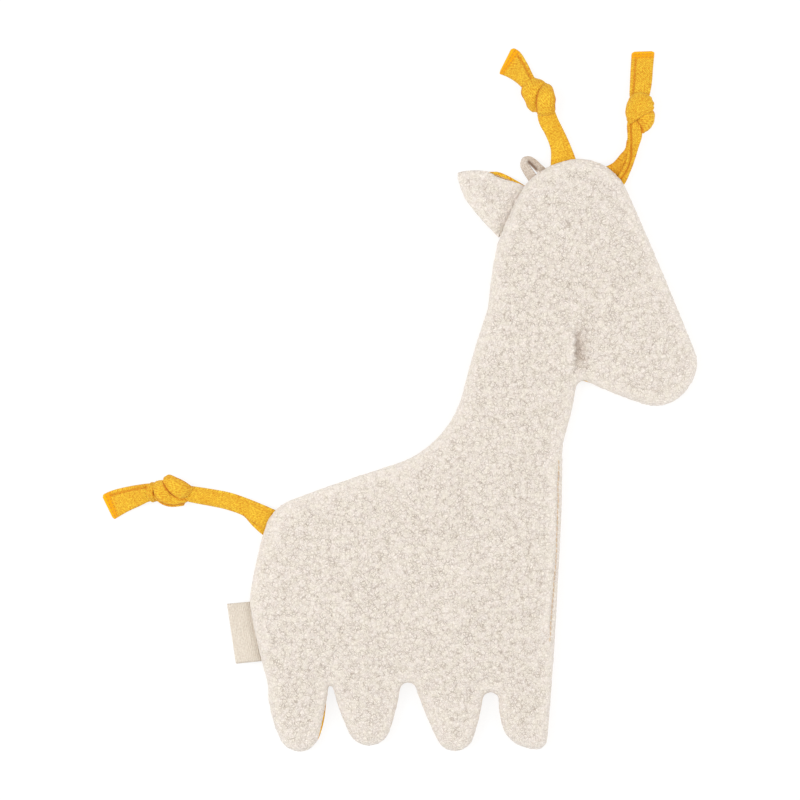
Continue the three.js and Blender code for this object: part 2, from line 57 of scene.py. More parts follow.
# The cut line: the place of each corner and the radius that rounds it, in millimetres.
pattern = np.array([
    (116.8, 241.2, 21.0),  # back of the crown
    (103.7, 213.1, 18.0),  # upper nape
    (99.7, 185.7, 42.1),  # lower nape
    (82.6, 127.6, 43.0),  # withers
    (8.1, 102.0, 18.0),  # top of the rump
    (-0.8, 62.4, 23.6),  # thigh
    (7.4, 28.0, 20.0),  # first hock
    (8.4, 16.7, 10.0),  # first heel
    (23.6, -26.0, 8.8),  # first foot
    (33.6, 29.3, 0.9),  # first gap
    (51.7, -21.2, 9.3),  # second foot
    (65.6, 35.6, 3.3),  # second gap
    (88.3, -19.4, 8.3),  # third foot
    (102.1, 40.1, 3.3),  # third gap
    (106.5, 2.6, 13.1),  # front heel
    (124.6, -0.6, 4.6),  # front toe
    (129.7, 75.4, 42.1),  # lower chest
    (131.4, 128.0, 25.6),  # upper chest
    (137.9, 156.0, 3.4),  # throat
    (178.0, 140.0, 16.5),  # chin
    (189.2, 161.8, 11.9),  # nose
    (149.8, 255.3, 22.0),  # forehead
])
straight_fullness = 0.4
offset_room = 3.0
fewest_arc_steps = 4
seam_height = 2.85
seam_gap = 0.3
groove_depth = 1.4
panel_wall = 1.4
front_cloth = 1.2
front_edge_height = 1.3
foot_roll = 1.6
front_shy = 0.6
front_pucker = 0.1
seed_strides = (7.31, 3.17, 1.73)
peeping_places = np.array([(-32.6, -136.0), (78.6, 8.4)])
peeping_reach = np.array([9.5, 3.0])
peeping_width = np.array([0.85, 0.5])


def unit(vectors):
    return vectors / np.linalg.norm(vectors, axis=-1, keepdims=True)


def raised(flat, height):
    return np.column_stack([flat, np.full(len(flat), height)])


def outward_of(ring):
    along = unit(np.roll(ring, -1, axis=0) - np.roll(ring, 1, axis=0))
    return np.column_stack([along[:, 1], -along[:, 0]])


def outline(inset, spacing, cut=pattern, middle=pattern_middle):
    corners = cut[:, :2] - middle
    radii = cut[:, 2]
    back = unit(np.roll(corners, 1, axis=0) - corners)
    ahead = unit(np.roll(corners, -1, axis=0) - corners)
    half = np.arccos((back * ahead).sum(1)) / 2
    convex = ahead[:, 0] * back[:, 1] - ahead[:, 1] * back[:, 0] > 0
    inward = unit(back + ahead)

    def fillets(shift):
        radius = np.where(convex, np.maximum(radii - shift, seam_gap), radii + shift)
        moved = np.where(convex, shift, -shift) / np.sin(half)
        tip = corners + inward * moved[:, None]
        reach = (radius / np.tan(half))[:, None]
        centre = tip + inward * (radius / np.sin(half))[:, None]
        return centre, tip + back * reach, tip + ahead * reach

    plain = fillets(0)
    centres, starts, ends = fillets(inset)
    turns = (math.pi - 2 * half) * np.where(convex, 1, -1)
    points = []
    for index in range(len(corners)):
        after = (index + 1) % len(corners)
        arc_length = abs(turns[index]) * (radii[index] + offset_room)
        arc_steps = max(fewest_arc_steps, math.ceil(arc_length / spacing))
        spoke = starts[index] - centres[index]
        for step in range(arc_steps + 1):
            angle = turns[index] * step / arc_steps
            turn = np.array([[math.cos(angle), -math.sin(angle)], [math.sin(angle), math.cos(angle)]])
            points.append(centres[index] + turn @ spoke)
        run = starts[after] - ends[index]
        plain_run = np.linalg.norm(plain[1][after] - plain[2][index])
        run_steps = max(1, round(plain_run / spacing))
        out = unit(np.array([run[1], -run[0]]))
        for step in range(1, run_steps):
            share = step / run_steps
            bow = 4 * straight_fullness * share * (1 - share)
            points.append(ends[index] + run * share + out * bow)
    return np.array(points)


def edge_distance(points, ring, batch=2000):
    run = np.roll(ring, -1, axis=0) - ring
    length = (run * run).sum(1)
    nearest = np.full(len(points), np.inf)
    for first in range(0, len(points), batch):
        part = points[first:first + batch, None] - ring[None]
        share = np.clip((part * run[None]).sum(2) / length[None], 0, 1)
        away = np.linalg.norm(part - share[..., None] * run[None], axis=2)
        nearest[first:first + batch] = away.min(1)
    return nearest


def inside_ring(points, ring):
    after = np.roll(ring, -1, axis=0)
    inside = np.zeros(len(points), bool)
    for (ax, ay), (bx, by) in zip(ring, after):
        crossing = (ay > points[:, 1]) != (by > points[:, 1])
        if by != ay:
            inside ^= crossing & (points[:, 0] < ax + (points[:, 1] - ay) * (bx - ax) / (by - ay))
    return inside


def cloth_field(ring, pitch, clear_of_edge=0.6, inside_only=1, weld=1e-6):
    low, high = ring.min(0), ring.max(0)
    row_pitch = pitch * math.sqrt(3) / 2
    rows = []
    for row, y in enumerate(np.arange(low[1], high[1], row_pitch)):
        rows.append(raised(np.arange(low[0] + (row % 2) * pitch / 2, high[0], pitch), y))
    field = np.concatenate(rows)
    field = field[inside_ring(field, ring)]
    field = field[edge_distance(field, ring) > pitch * clear_of_edge]
    everything = [Vector(point) for point in np.concatenate([ring, field])]
    rim = [(index, (index + 1) % len(ring)) for index in range(len(ring))]
    _, _, triangles, sources, _, _ = delaunay_2d_cdt(everything, rim, [], inside_only, weld)
    return field, [[sources[corner][0] for corner in triangle] for triangle in triangles]


def tube_faces(levels, count):
    faces = []
    for level in range(levels - 1):
        for side in range(count):
            here = level * count + side
            beside = level * count + (side + 1) % count
            faces.append((here, beside, beside + count, here + count))
    return faces


# A panel is a stack of rings, each given by its inset from the cut line and its height, closed at both ends.
def panel_shell(levels, spacing, low_pitch, high_pitch, cut=pattern, middle=pattern_middle):
    rings = [outline(inset, spacing, cut, middle) for inset, _ in levels]
    count = len(rings[0])
    points = [raised(ring, z) for ring, (_, z) in zip(rings, levels)]
    faces = tube_faces(len(rings), count)
    top = (len(rings) - 1) * count
    total = len(rings) * count
    for ring, z, pitch, start, facing_up in (
        (rings[0], levels[0][1], low_pitch, 0, False),
        (rings[-1], levels[-1][1], high_pitch, top, True),
    ):
        field, triangles = cloth_field(ring, pitch)
        points.append(raised(field, z))
        for triangle in triangles:
            placed = [start + corner if corner < count else total + corner - count for corner in triangle]
            flat = np.concatenate([ring, field])[triangle]
            turn = np.cross(flat[1] - flat[0], flat[2] - flat[0])
            faces.append(tuple(placed if (turn > 0) == facing_up else placed[::-1]))
        total += len(field)
    return np.concatenate(points), faces, count


def rolled_edge(foot_width, low, middle, top_width, high, steps):
    foot, top = [np.linspace(0, math.pi / 2, count + 1) for count in steps]
    levels = list(zip(foot_width * (1 - np.sin(foot)), low + (middle - low) * (1 - np.cos(foot))))
    return levels + list(zip(top_width * (1 - np.cos(top)), middle + (high - middle) * np.sin(top)))[1:]


def ripple(points, size, seed):
    shift = Vector([seed * stride for stride in seed_strides])
    return np.array([noise.noise(Vector(point) / size + shift) for point in points])


def peeping(points):
    out = np.zeros((len(points), 2))
    rim = outline(0, spacing=1.0)
    outward = outward_of(rim)
    for place, reach, width in zip(peeping_places, peeping_reach, peeping_width):
        near = np.argmin(np.linalg.norm(rim - place, axis=1))
        fall = np.exp(-((np.linalg.norm(points - place, axis=1) / reach) ** 2))
        out += outward[near] * (width * fall)[:, None]
    return out


def linked(name, data):
    made = bpy.data.objects.new(name, data)
    bpy.context.scene.collection.objects.link(made)
    return made


def piece_mesh(name, points, faces, material, smooth=True):
    mesh = bpy.data.meshes.new(name)
    mesh.from_pydata((np.asarray(points) * mm).tolist(), [], faces)
    mesh.materials.append(material)
    mesh.polygons.foreach_set("use_smooth", np.full(len(mesh.polygons), smooth))
    mesh.update()
    return linked(name, mesh)


def add_node(tree, kind, fill=None, **settings):
    made = tree.nodes.new(kind)
    for name, value in settings.items():
        setattr(made, name, value)
    for socket, value in (fill or {}).items():
        if isinstance(value, bpy.types.NodeSocket):
            tree.links.new(value, made.inputs[socket])
        else:
            made.inputs[socket].default_value = value
    return made


def result(tree, kind, fill=None, **settings):
    return add_node(tree, kind, fill, **settings).outputs[0]


def maths(tree, operation, first, second=0.0, third=0.0):
    return result(tree, "ShaderNodeMath", {0: first, 1: second, 2: third}, operation=operation)


def times(tree, first, second):
    return maths(tree, "MULTIPLY", first, second)


def weighed(tree, value, weight, rest):
    return maths(tree, "MULTIPLY_ADD", value, weight, rest)


def mixed(tree, share, first, second):
    return add_node(tree, "ShaderNodeMix", {0: share, 6: first, 7: second}, data_type="RGBA").outputs[2]


def speckle(tree, place, scale, detail=2.0, distortion=0.0):
    fill = {"Vector": place, "Scale": scale, "Detail": detail, "Distortion": distortion}
    return result(tree, "ShaderNodeTexNoise", fill)


def spread(tree, value, low, high, first=0.0, last=1.0, **settings):
    fill = {"Value": value, "From Min": low, "From Max": high, "To Min": first, "To Max": last}
    return result(tree, "ShaderNodeMapRange", fill, **settings)


def colour(red, green, blue):
    shares = np.array([red, green, blue]) / 255
    linear = np.where(shares <= 0.04045, shares / 12.92, ((shares + 0.055) / 1.055) ** 2.4)
    return (*linear, 1.0)


def new_material(name):
    material = bpy.data.materials.new(name)
    material.use_nodes = True
    tree = material.node_tree
    return material, tree, tree.nodes["Principled BSDF"]


def object_place(tree):
    return add_node(tree, "ShaderNodeTexCoord").outputs["Object"]


def surfaced(tree, shader, tint, height, strength, depth, finish):
    tree.links.new(tint, shader.inputs["Base Color"])
    bump = result(tree, "ShaderNodeBump", {"Strength": strength, "Distance": depth * mm, "Height": height})
    tree.links.new(bump, shader.inputs["Normal"])
    for name, value in finish.items():
        shader.inputs[name].default_value = value


def sockets(tree, inputs, outputs):
    for in_out, listed in (("INPUT", inputs), ("OUTPUT", outputs)):
        for name, kind in listed.items():
            tree.interface.new_socket(name, in_out=in_out, socket_type="NodeSocket" + kind)
    return add_node(tree, "NodeGroupInput").outputs


# The weave and the fibre melange are shared by the jersey and the tapes, and measured in millimetres.
rib_wander = 0.8
cross_pace = 2.1
cross_share = 0.35
weave_swing = 0.28
grain_share = 0.6
fibre_scale = 1.25
blotch_share = 0.34
cloth_finish = {"Roughness": 0.85, "Specular IOR Level": 0.2, "Sheen Weight": 0.06, "Sheen Roughness": 0.6}
weave = bpy.data.node_groups.new("cloth_weave", "ShaderNodeTree")
weave_in = sockets(
    weave,
    {"Cloth": "Vector", "Pitch": "Float", "Slant": "Float", "Fibre": "Float"},
    {"Height": "Float", "Shade": "Float"},
)
weave_split = add_node(weave, "ShaderNodeSeparateXYZ", {0: weave_in["Cloth"]}).outputs
weave_wander = speckle(weave, weave_in["Cloth"], scale=0.35, detail=1.0)
weave_rib = weighed(weave, weave_split[1], weave_in["Slant"], weave_split[0])
weave_rib = maths(weave, "ADD", weave_rib, times(weave, weave_wander, rib_wander))
weave_rib = maths(weave, "DIVIDE", weave_rib, weave_in["Pitch"])
weave_rib = maths(weave, "SINE", times(weave, weave_rib, 2 * math.pi))
weave_cross = maths(weave, "DIVIDE", weave_split[1], weave_in["Pitch"])
weave_cross = maths(weave, "SINE", times(weave, weave_cross, 2 * math.pi * cross_pace))
weave_height = weighed(weave, weave_cross, cross_share, weave_rib)
weave_height = weighed(weave, weave_height, weave_swing, 0.5)
weave_grain = speckle(weave, weave_in["Cloth"], weave_in["Fibre"], detail=3.0)
weave_grain = spread(weave, weave_grain, 0.32, 0.68)
weave_shade = times(weave, weave_height, 1 - grain_share)
weave_shade = weighed(weave, weave_grain, grain_share, weave_shade)
add_node(weave, "NodeGroupOutput", {"Height": weave_height, "Shade": weave_shade})


def woven_material(name, shade, light, pitch, slant, relief, by_cloth):
    material, tree, shader = new_material(name)
    if by_cloth:
        place = result(tree, "ShaderNodeUVMap", uv_map="cloth")
    else:
        place = result(tree, "ShaderNodeMapping", {"Vector": object_place(tree), "Scale": (1 / mm,) * 3})
    woven = add_node(
        tree, "ShaderNodeGroup", {"Cloth": place, "Pitch": pitch, "Slant": slant, "Fibre": fibre_scale},
        node_tree=weave,
    ).outputs
    blotch = speckle(tree, place, scale=0.16)
    share = weighed(tree, blotch, blotch_share, -blotch_share / 2)
    share = maths(tree, "ADD", share, woven["Shade"])
    tint = mixed(tree, share, shade, light)
    surfaced(tree, shader, tint, woven["Height"], strength=relief, depth=0.4, finish=cloth_finish)
    return material


mustard_shade = colour(203, 113, 0)
mustard_light = colour(251, 215, 62)
jersey_flat = woven_material(
    "mustard_jersey_panel", mustard_shade, mustard_light, pitch=1.0, slant=0.6, relief=0.5, by_cloth=False
)
seam_low = seam_height - seam_gap / 2
seam_high = seam_height + seam_gap / 2
wall_inset = groove_depth + panel_wall
front_levels = rolled_edge(foot_roll, 0, front_edge_height, groove_depth, seam_low, steps=(4, 4))
front_levels = [(inset + front_shy, z) for inset, z in front_levels]
front_levels += [(wall_inset, seam_low), (wall_inset + seam_gap, front_cloth)]
front_points, front_faces, front_count = panel_shell(front_levels, spacing=2.0, low_pitch=3.2, high_pitch=9.0)
front_rim = np.arange(front_count, front_count * (len(front_levels) - 2))
front_points[front_rim, :2] += peeping(front_points[front_rim, :2])
front_points[front_rim, 2] *= 1 + front_pucker * ripple(front_points[front_rim], size=4.0, seed=1)
front_panel = piece_mesh("front_jersey_panel", front_points, front_faces, jersey_flat)
front_round = front_panel.modifiers.new("rounding", "SUBSURF")
front_round.levels = 1
front_round.render_levels = 1
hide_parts("front_panel")
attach(front_panel, "body")

# Crackling film: a thin crumpled sheet of clear plastic, cut a little smaller than the panels and
# caught loosely between the jersey and the fleece. It is what rustles when the comforter is squeezed.
film_low = front_cloth + seam_gap
film_thickness = 0.3
film_crumple = 0.16
fill_inset = wall_inset + 2 * seam_gap
film_inset = fill_inset + seam_gap


def cells(tree, place, scale, feature, **more):
    fill = {"Vector": place, "Scale": scale, **more}
    return add_node(tree, "ShaderNodeTexVoronoi", fill, feature=feature).outputs["Distance"]


film_material, film_tree, film_shader = new_material("crackling_film")
film_facets = cells(film_tree, object_place(film_tree), scale=90.0, feature="F2")
film_tint = mixed(film_tree, film_facets, colour(214, 220, 224), colour(240, 243, 245))
surfaced(film_tree, film_shader, film_tint, film_facets, strength=0.6, depth=0.5, finish={"Roughness": 0.2})
film_levels = [(film_inset, film_low), (film_inset, film_low + film_thickness)]
film_points, film_faces, _ = panel_shell(film_levels, spacing=3.0, low_pitch=4.0, high_pitch=4.0)
film_points[:, 2] += film_crumple * ripple(raised(film_points[:, :2], 0), size=5.0, seed=2)
film = piece_mesh("crackling_film", film_points, film_faces, film_material, smooth=False)
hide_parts("crinkle_film")
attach(film, "body")

# Wadding: a thin layer of soft white fibre fleece that lies on the film and gives the back its loft.
# It is cut to the same outline and held only by the two panels round it.
wadding_low = film_low + film_thickness + seam_gap
wadding_loft = 3.4
wadding_lumps = 0.12
wadding_high = wadding_low + wadding_loft
fleece, fleece_tree, fleece_shader = new_material("fibre_fleece")
fleece_fibre = speckle(fleece_tree, object_place(fleece_tree), scale=900.0, detail=5.0, distortion=1.5)
fleece_tint = mixed(fleece_tree, fleece_fibre, colour(232, 229, 222), colour(250, 249, 246))
surfaced(
    fleece_tree, fleece_shader, fleece_tint, fleece_fibre, strength=0.8, depth=0.6, finish={"Roughness": 0.95}
)
wadding_levels = [
    (fill_inset, wadding_low), (fill_inset, seam_high), (fill_inset + panel_wall, wadding_high)
]
wadding_points, wadding_faces, _ = panel_shell(wadding_levels, spacing=3.0, low_pitch=5.0, high_pitch=5.0)
wadding_points[:, 2] += wadding_lumps * ripple(wadding_points, size=8.0, seed=3)
wadding = piece_mesh("fleece_wadding", wadding_points, wadding_faces, fleece)
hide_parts("wadding")
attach(wadding, "body")

# Back panel: one cut of oatmeal boucle, a curly woollen pile on a knitted ground. It is sewn to the front,
# turned so that its edge rolls over, and crowned by the wadding; the seam allowance shows as a faint ridge.
ceiling = wadding_high + seam_gap
back_edge_height = 4.9
top_roll = 5.0
roll_top = ceiling + 2.5
roll_margin = 0.1
upper_margin = 1.0
back_give = 0.4
rim_light_width = 4.0
crown_rise = 2.4
crown_reach = 14.0
soft_wave = 0.38
soft_wave_size = 16.0
calm_edge = 4.0
allowance_at = 5.6
allowance_width = 1.1
allowance_depth = 0.5
allowance_least = 0.6
allowance_swing = 0.8
allowance_swing_size = 22.0
cheek_dent = ((60.5, 27.0), (63.0, 20.5))
cheek_dent_width = 4.5
cheek_dent_depth = 0.8


def falloff(points, start, end, width):
    start, end = np.array(start), np.array(end)
    run = end - start
    share = np.clip(((points - start) @ run) / (run @ run), 0, 1)
    away = np.linalg.norm(points - start - share[:, None] * run, axis=1)
    return np.exp(-((away / width) ** 2)), share


def boucle_relief(points, distance):
    level = raised(points[:, :2], 0)
    depth = np.maximum(distance - top_roll, 0)
    rise = crown_rise * (1 - np.exp(-depth / crown_reach))
    rise += soft_wave * ripple(level, soft_wave_size, seed=4) * (1 - np.exp(-distance / calm_edge))
    ridge = np.exp(-(((distance - allowance_at) / allowance_width) ** 2))
    ridge *= allowance_least + allowance_swing * ripple(level, allowance_swing_size, seed=5)
    rise -= allowance_depth * ridge
    dent, _ = falloff(points[:, :2], *cheek_dent, cheek_dent_width)
    return rise - cheek_dent_depth * dent


# The cloth is gathered in a fold at the throat, whose lip stands over it on the side of the neck, and drawn
# in along the closing line on the chest. The waves give the height and the pace of the fold's uneven line.
# Beside the heights, creases also gives the weights of the painted shade in the fold and along the closing
# line.
throat_line = 73.2
throat_top = 31.5
throat_foot = 9.5
throat_depth = 2.4
throat_width = 3.5
throat_steep = 0.7
throat_lean = 1.1
throat_waves = ((0.35, 1.7), (0.25, 3.9))
lip_width = 2.0
lip_rise = 0.8
closing_path = np.array([(66.3, -25.9), (65.5, -63.0), (62.6, -100.4)])
closing_width = 0.7
closing_depth = 0.75
closing_shade = 0.2
closing_end_pace = 6
closing_end_least = 0.15
# Painted highlight: a strip beside the closing line is painted lighter.
closing_light_aside = (2.2, 0)
closing_light_width = 2.4
closing_light_share = 0.8


def throat_fold(flat):
    sway = sum(height * np.sin(pace * flat[:, 1]) for height, pace in throat_waves)
    past = flat[:, 0] - throat_line + sway
    share = np.clip((flat[:, 1] - throat_foot) / (throat_top - throat_foot), 0, 1)
    within = np.clip(np.sin(math.pi * share ** throat_lean), 0, 1)
    lip = np.exp(-(((past + lip_width) / lip_width) ** 2)) * within
    slope = np.where(past < throat_steep, throat_steep, throat_width)
    fold = np.exp(-(((past - throat_steep) / slope) ** 2)) * within
    return lip, fold


def closing_fall(flat, width):
    upper, from_top = falloff(flat, closing_path[0], closing_path[1], width)
    lower, to_foot = falloff(flat, closing_path[1], closing_path[2], width)
    ends = np.clip(closing_end_pace * np.minimum(from_top, 1 - to_foot) + closing_end_least, 0, 1)
    return np.maximum(upper, lower) * ends


def creases(flat):
    lip, fold = throat_fold(flat)
    closing = closing_fall(flat, closing_width)
    return lip_rise * lip - throat_depth * fold - closing_depth * closing, fold + closing_shade * closing


back_levels = [(wall_inset + panel_wall, ceiling), (wall_inset, seam_high)]
back_levels += rolled_edge(groove_depth, seam_high, back_edge_height, top_roll, roll_top, steps=(2, 4))
back_points, back_faces, back_count = panel_shell(back_levels, spacing=2.2, low_pitch=60.0, high_pitch=2.0)
back_order = np.arange(len(back_points))
hidden_cap = (back_order >= len(back_levels) * back_count) & np.isclose(back_points[:, 2], ceiling)
back_outer = (back_order >= 2 * back_count) & ~hidden_cap
back_top = (back_order >= 4 * back_count) & ~hidden_cap
back_distance = edge_distance(back_points[:, :2], outline(0, spacing=1.5))
back_points[back_top, 2] += boucle_relief(back_points[back_top], back_distance[back_top])
back_edge = back_outer & (back_distance < top_roll + roll_margin)
back_points[back_edge, :2] -= back_give * peeping(back_points[back_edge, :2])

# The nap of curls is raised on the shown side of the cloth. Curl sizes are in metres.
curl_size = 0.0018
curl_height = 0.00032
curl_fineness = 2
curl_wander = 1.1
head_height = 0.9
tip_share = 0.55
patch_share = 0.5
nap_middle = 0.5


def scaled(tree, vector, factor):
    return result(tree, "ShaderNodeVectorMath", {0: vector, 3: factor}, operation="SCALE")


def swayed(tree, place):
    fill = {"Vector": place, "Scale": 0.8, "Detail": 1.0}
    sway = add_node(tree, "ShaderNodeTexNoise", fill).outputs["Color"]
    fill = {0: sway, 1: (curl_wander,) * 3, 2: place}
    return result(tree, "ShaderNodeVectorMath", fill, operation="MULTIPLY_ADD")


nap = bpy.data.node_groups.new("boucle_nap", "GeometryNodeTree")
nap_in = sockets(
    nap,
    {
        "Geometry": "Geometry", "Fineness": "Int", "Curl Size": "Float", "Curl Height": "Float",
        "Cloth": "Material",
    },
    {"Geometry": "Geometry"},
)
nap_fine = {"Mesh": nap_in["Geometry"], "Level": nap_in["Fineness"]}
nap_fine = result(nap, "GeometryNodeSubdivisionSurface", nap_fine)
nap_place = result(nap, "GeometryNodeInputPosition")
nap_place = scaled(nap, nap_place, maths(nap, "DIVIDE", 1.0, nap_in["Curl Size"]))
nap_curls = swayed(nap, nap_place)
nap_heads = cells(nap, nap_curls, scale=1.0, feature="SMOOTH_F1", Smoothness=0.35)
nap_tips = cells(nap, nap_curls, scale=2.3, feature="SMOOTH_F1", Smoothness=0.3)
nap_patch = speckle(nap, nap_place, scale=0.33, detail=1.0)
nap_height = weighed(nap, nap_heads, -1.0, head_height)
nap_height = weighed(nap, nap_tips, -tip_share, nap_height)
nap_height = weighed(nap, nap_patch, patch_share, nap_height)
nap_shown = result(nap, "GeometryNodeInputNamedAttribute", {"Name": "shown"}, data_type="FLOAT")
nap_lift = times(nap, maths(nap, "SUBTRACT", nap_height, nap_middle), nap_in["Curl Height"])
nap_lift = times(nap, nap_lift, nap_shown)
nap_lift = scaled(nap, result(nap, "GeometryNodeInputNormal"), nap_lift)
nap_curled = result(nap, "GeometryNodeSetPosition", {"Geometry": nap_fine, "Offset": nap_lift})
nap_real = result(nap, "GeometryNodeRealizeInstances", {"Geometry": nap_curled})
nap_dressed = result(nap, "GeometryNodeSetMaterial", {"Geometry": nap_real, "Material": nap_in["Cloth"]})
add_node(nap, "NodeGroupOutput", {0: nap_dressed})


def grown(piece, tree, values):
    modifier = piece.modifiers.new("grown", "NODES")
    modifier.node_group = tree
    for item in tree.interface.items_tree:
        if item.in_out == "INPUT" and item.name in values:
            modifier[item.identifier] = values[item.name]
    evaluated = piece.evaluated_get(bpy.context.evaluated_depsgraph_get())
    mesh = bpy.data.meshes.new_from_object(evaluated)
    mesh.name = piece.name
    piece.modifiers.remove(modifier)
    piece.data = mesh
    mesh.polygons.foreach_set("use_smooth", np.ones(len(mesh.polygons), bool))
    return piece


def attribute_of(tree, name):
    return add_node(tree, "ShaderNodeAttribute", attribute_name=name).outputs["Fac"]


# The colour of the boucle: a melange of two yarns. The gaps between its curls and their loops carry painted
# shade, weaker along the rolled rim, which is thus painted lighter, and stronger in the folds, which are also
# painted darker.
gap_shade_plain = 0.9
gap_shade_less_at_rim = 0.55
gap_shade_more_in_fold = 0.7
fold_shade_share = 0.45
loop_relief = 0.45
fibre_relief = 0.5
boucle, pile, pile_shader = new_material("oat_boucle")
pile_place = object_place(pile)
pile_rim_light = attribute_of(pile, "rim")
pile_fold_shade = attribute_of(pile, "fold")
pile_curls = result(pile, "ShaderNodeMapping", {"Vector": pile_place, "Scale": (1 / curl_size,) * 3})
pile_curls = swayed(pile, pile_curls)
curl_edge = cells(pile, pile_curls, scale=1.0, feature="DISTANCE_TO_EDGE")
loop_edge = cells(pile, pile_curls, scale=2.1, feature="DISTANCE_TO_EDGE")
pile_yarn = spread(pile, speckle(pile, pile_place, scale=300.0, detail=3.0), 0.38, 0.62)
pile_shade = mixed(pile, pile_yarn, colour(230, 217, 206), colour(227, 217, 202))
pile_light = mixed(pile, pile_yarn, colour(247, 239, 231), colour(247, 239, 227))
pile_tone = spread(pile, speckle(pile, pile_place, scale=1250.0), 0.3, 0.7)
pile_tint = mixed(pile, pile_tone, pile_shade, pile_light)
curl_line = spread(pile, curl_edge, 0.0, 0.09, first=1.0, last=0.0)
loop_line = spread(pile, loop_edge, 0.0, 0.11, first=0.85, last=0.0)
pile_break = spread(pile, speckle(pile, pile_place, scale=420.0), 0.36, 0.62, first=0.33)
pile_gap_shade = times(pile, maths(pile, "MAXIMUM", curl_line, loop_line), pile_break)
gap_shade_strength = weighed(pile, pile_rim_light, -gap_shade_less_at_rim, gap_shade_plain)
gap_shade_strength = weighed(pile, pile_fold_shade, gap_shade_more_in_fold, gap_shade_strength)
pile_gap_shade = times(pile, pile_gap_shade, gap_shade_strength)
# Painted shade: first in the gaps between the curls, then over the folds of the throat and the closing line
# as a whole.
pile_tint = mixed(pile, pile_gap_shade, pile_tint, colour(154, 137, 122))
pile_tint = mixed(pile, times(pile, pile_fold_shade, fold_shade_share), pile_tint, colour(168, 146, 128))
curl_dome = spread(pile, curl_edge, 0.0, 0.4, interpolation_type="SMOOTHSTEP")
loop_dome = spread(pile, loop_edge, 0.0, 0.3, interpolation_type="SMOOTHSTEP")
pile_height = weighed(pile, loop_dome, loop_relief, curl_dome)
pile_fibre = speckle(pile, pile_place, scale=1900.0)
pile_height = weighed(pile, pile_fibre, fibre_relief, pile_height)
pile_finish = {"Roughness": 0.95, "Specular IOR Level": 0.1, "Sheen Weight": 0.4, "Sheen Roughness": 0.7}
surfaced(pile, pile_shader, pile_tint, pile_height, strength=0.6, depth=0.5, finish=pile_finish)


def marked(piece, name, weights):
    attribute = piece.data.attributes.new(name, "FLOAT", "POINT")
    attribute.data.foreach_set("value", np.asarray(weights, np.float32))


def places_of(piece):
    places = np.empty(len(piece.data.vertices) * 3, np.float32)
    piece.data.vertices.foreach_get("co", places)
    return places.reshape(-1, 3) / mm


back_panel = piece_mesh("boucle_back_panel", back_points, back_faces, boucle)
marked(back_panel, "shown", back_outer)
# Painted highlight: the shade painted between the curls is weaker along the rolled rim, the throat's lip and
# a strip beside the closing line.
back_rim_light = np.exp(-((back_distance / rim_light_width) ** 2))
closing_light = closing_fall(back_points[:, :2] + closing_light_aside, closing_light_width)
back_rim_light = np.maximum(back_rim_light, throat_fold(back_points[:, :2])[0])
back_rim_light = np.maximum(back_rim_light, closing_light_share * closing_light)
marked(back_panel, "rim", back_rim_light)
curls = {"Fineness": curl_fineness, "Curl Size": curl_size, "Curl Height": curl_height, "Cloth": boucle}
grown(back_panel, nap, curls)
back_places = places_of(back_panel)
back_upper = back_places[:, 2] > back_edge_height + upper_margin
back_rise, back_fold_shade = creases(back_places[:, :2])
back_places[back_upper, 2] += back_rise[back_upper]
# The fold weights are painted shade in the throat fold and along the closing line.
marked(back_panel, "fold", back_fold_shade * back_upper)
back_panel.data.vertices.foreach_set("co", (back_places * mm).ravel())
back_panel.data.update()
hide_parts("back_panel")
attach(back_panel, "body")

# Seam of the body: a row of tan stitches in the groove between the two panels, all round the outline.
# The closing stitch on the chest is the same thread, sewn through the rolled edge to shut the turning gap.
seam_inset = 0.75
closing_steps = 60
closing_waver = 0.35
closing_thread_above = 0.1
closing_facing = (0.35, 0, 0.94)
stitch_dip_share = -0.7
stitch_arch_share = 0.9
stitch_sides = 6


def vector_of(tree, **axes):
    return result(tree, "ShaderNodeCombineXYZ", axes)


stitch = bpy.data.node_groups.new("stitch_row", "GeometryNodeTree")
stitch_sizes = dict.fromkeys(("Pitch", "Length", "Thread", "Slant"), "Float")
stitch_in = sockets(
    stitch, {"Geometry": "Geometry", **stitch_sizes, "Fibre": "Material"}, {"Geometry": "Geometry"}
)
stitch_line = result(stitch, "GeometryNodeMeshToCurve", {0: stitch_in["Geometry"]})
stitch_points = add_node(
    stitch, "GeometryNodeCurveToPoints", {"Curve": stitch_line, "Length": stitch_in["Pitch"]}, mode="LENGTH"
).outputs
stitch_face = result(stitch, "GeometryNodeInputNamedAttribute", {"Name": "face"}, data_type="FLOAT_VECTOR")
stitch_turn = result(
    stitch, "FunctionNodeAxesToRotation", {0: stitch_face, 1: stitch_points["Tangent"]},
    primary_axis="Z", secondary_axis="X",
)
stitch_lean = result(stitch, "FunctionNodeEulerToRotation", {0: vector_of(stitch, Z=stitch_in["Slant"])})
stitch_turn = result(
    stitch, "FunctionNodeRotateRotation", {0: stitch_turn, 1: stitch_lean}, rotation_space="LOCAL"
)
stitch_half = times(stitch, stitch_in["Length"], 0.5)
stitch_back = times(stitch, stitch_half, -1.0)
stitch_dip = times(stitch, stitch_in["Thread"], stitch_dip_share)
stitch_arch = times(stitch, stitch_in["Thread"], stitch_arch_share)
stitch_arc = result(stitch, "GeometryNodeCurveQuadraticBezier", {
    "Resolution": stitch_sides,
    "Start": vector_of(stitch, X=stitch_back, Z=stitch_dip),
    "Middle": vector_of(stitch, Z=stitch_arch),
    "End": vector_of(stitch, X=stitch_half, Z=stitch_dip),
})
stitch_radius = times(stitch, stitch_in["Thread"], 0.5)
stitch_round = {"Resolution": stitch_sides, "Radius": stitch_radius}
stitch_round = result(stitch, "GeometryNodeCurvePrimitiveCircle", stitch_round)
stitch_body = result(
    stitch, "GeometryNodeCurveToMesh", {"Curve": stitch_arc, "Profile Curve": stitch_round, "Fill Caps": True}
)
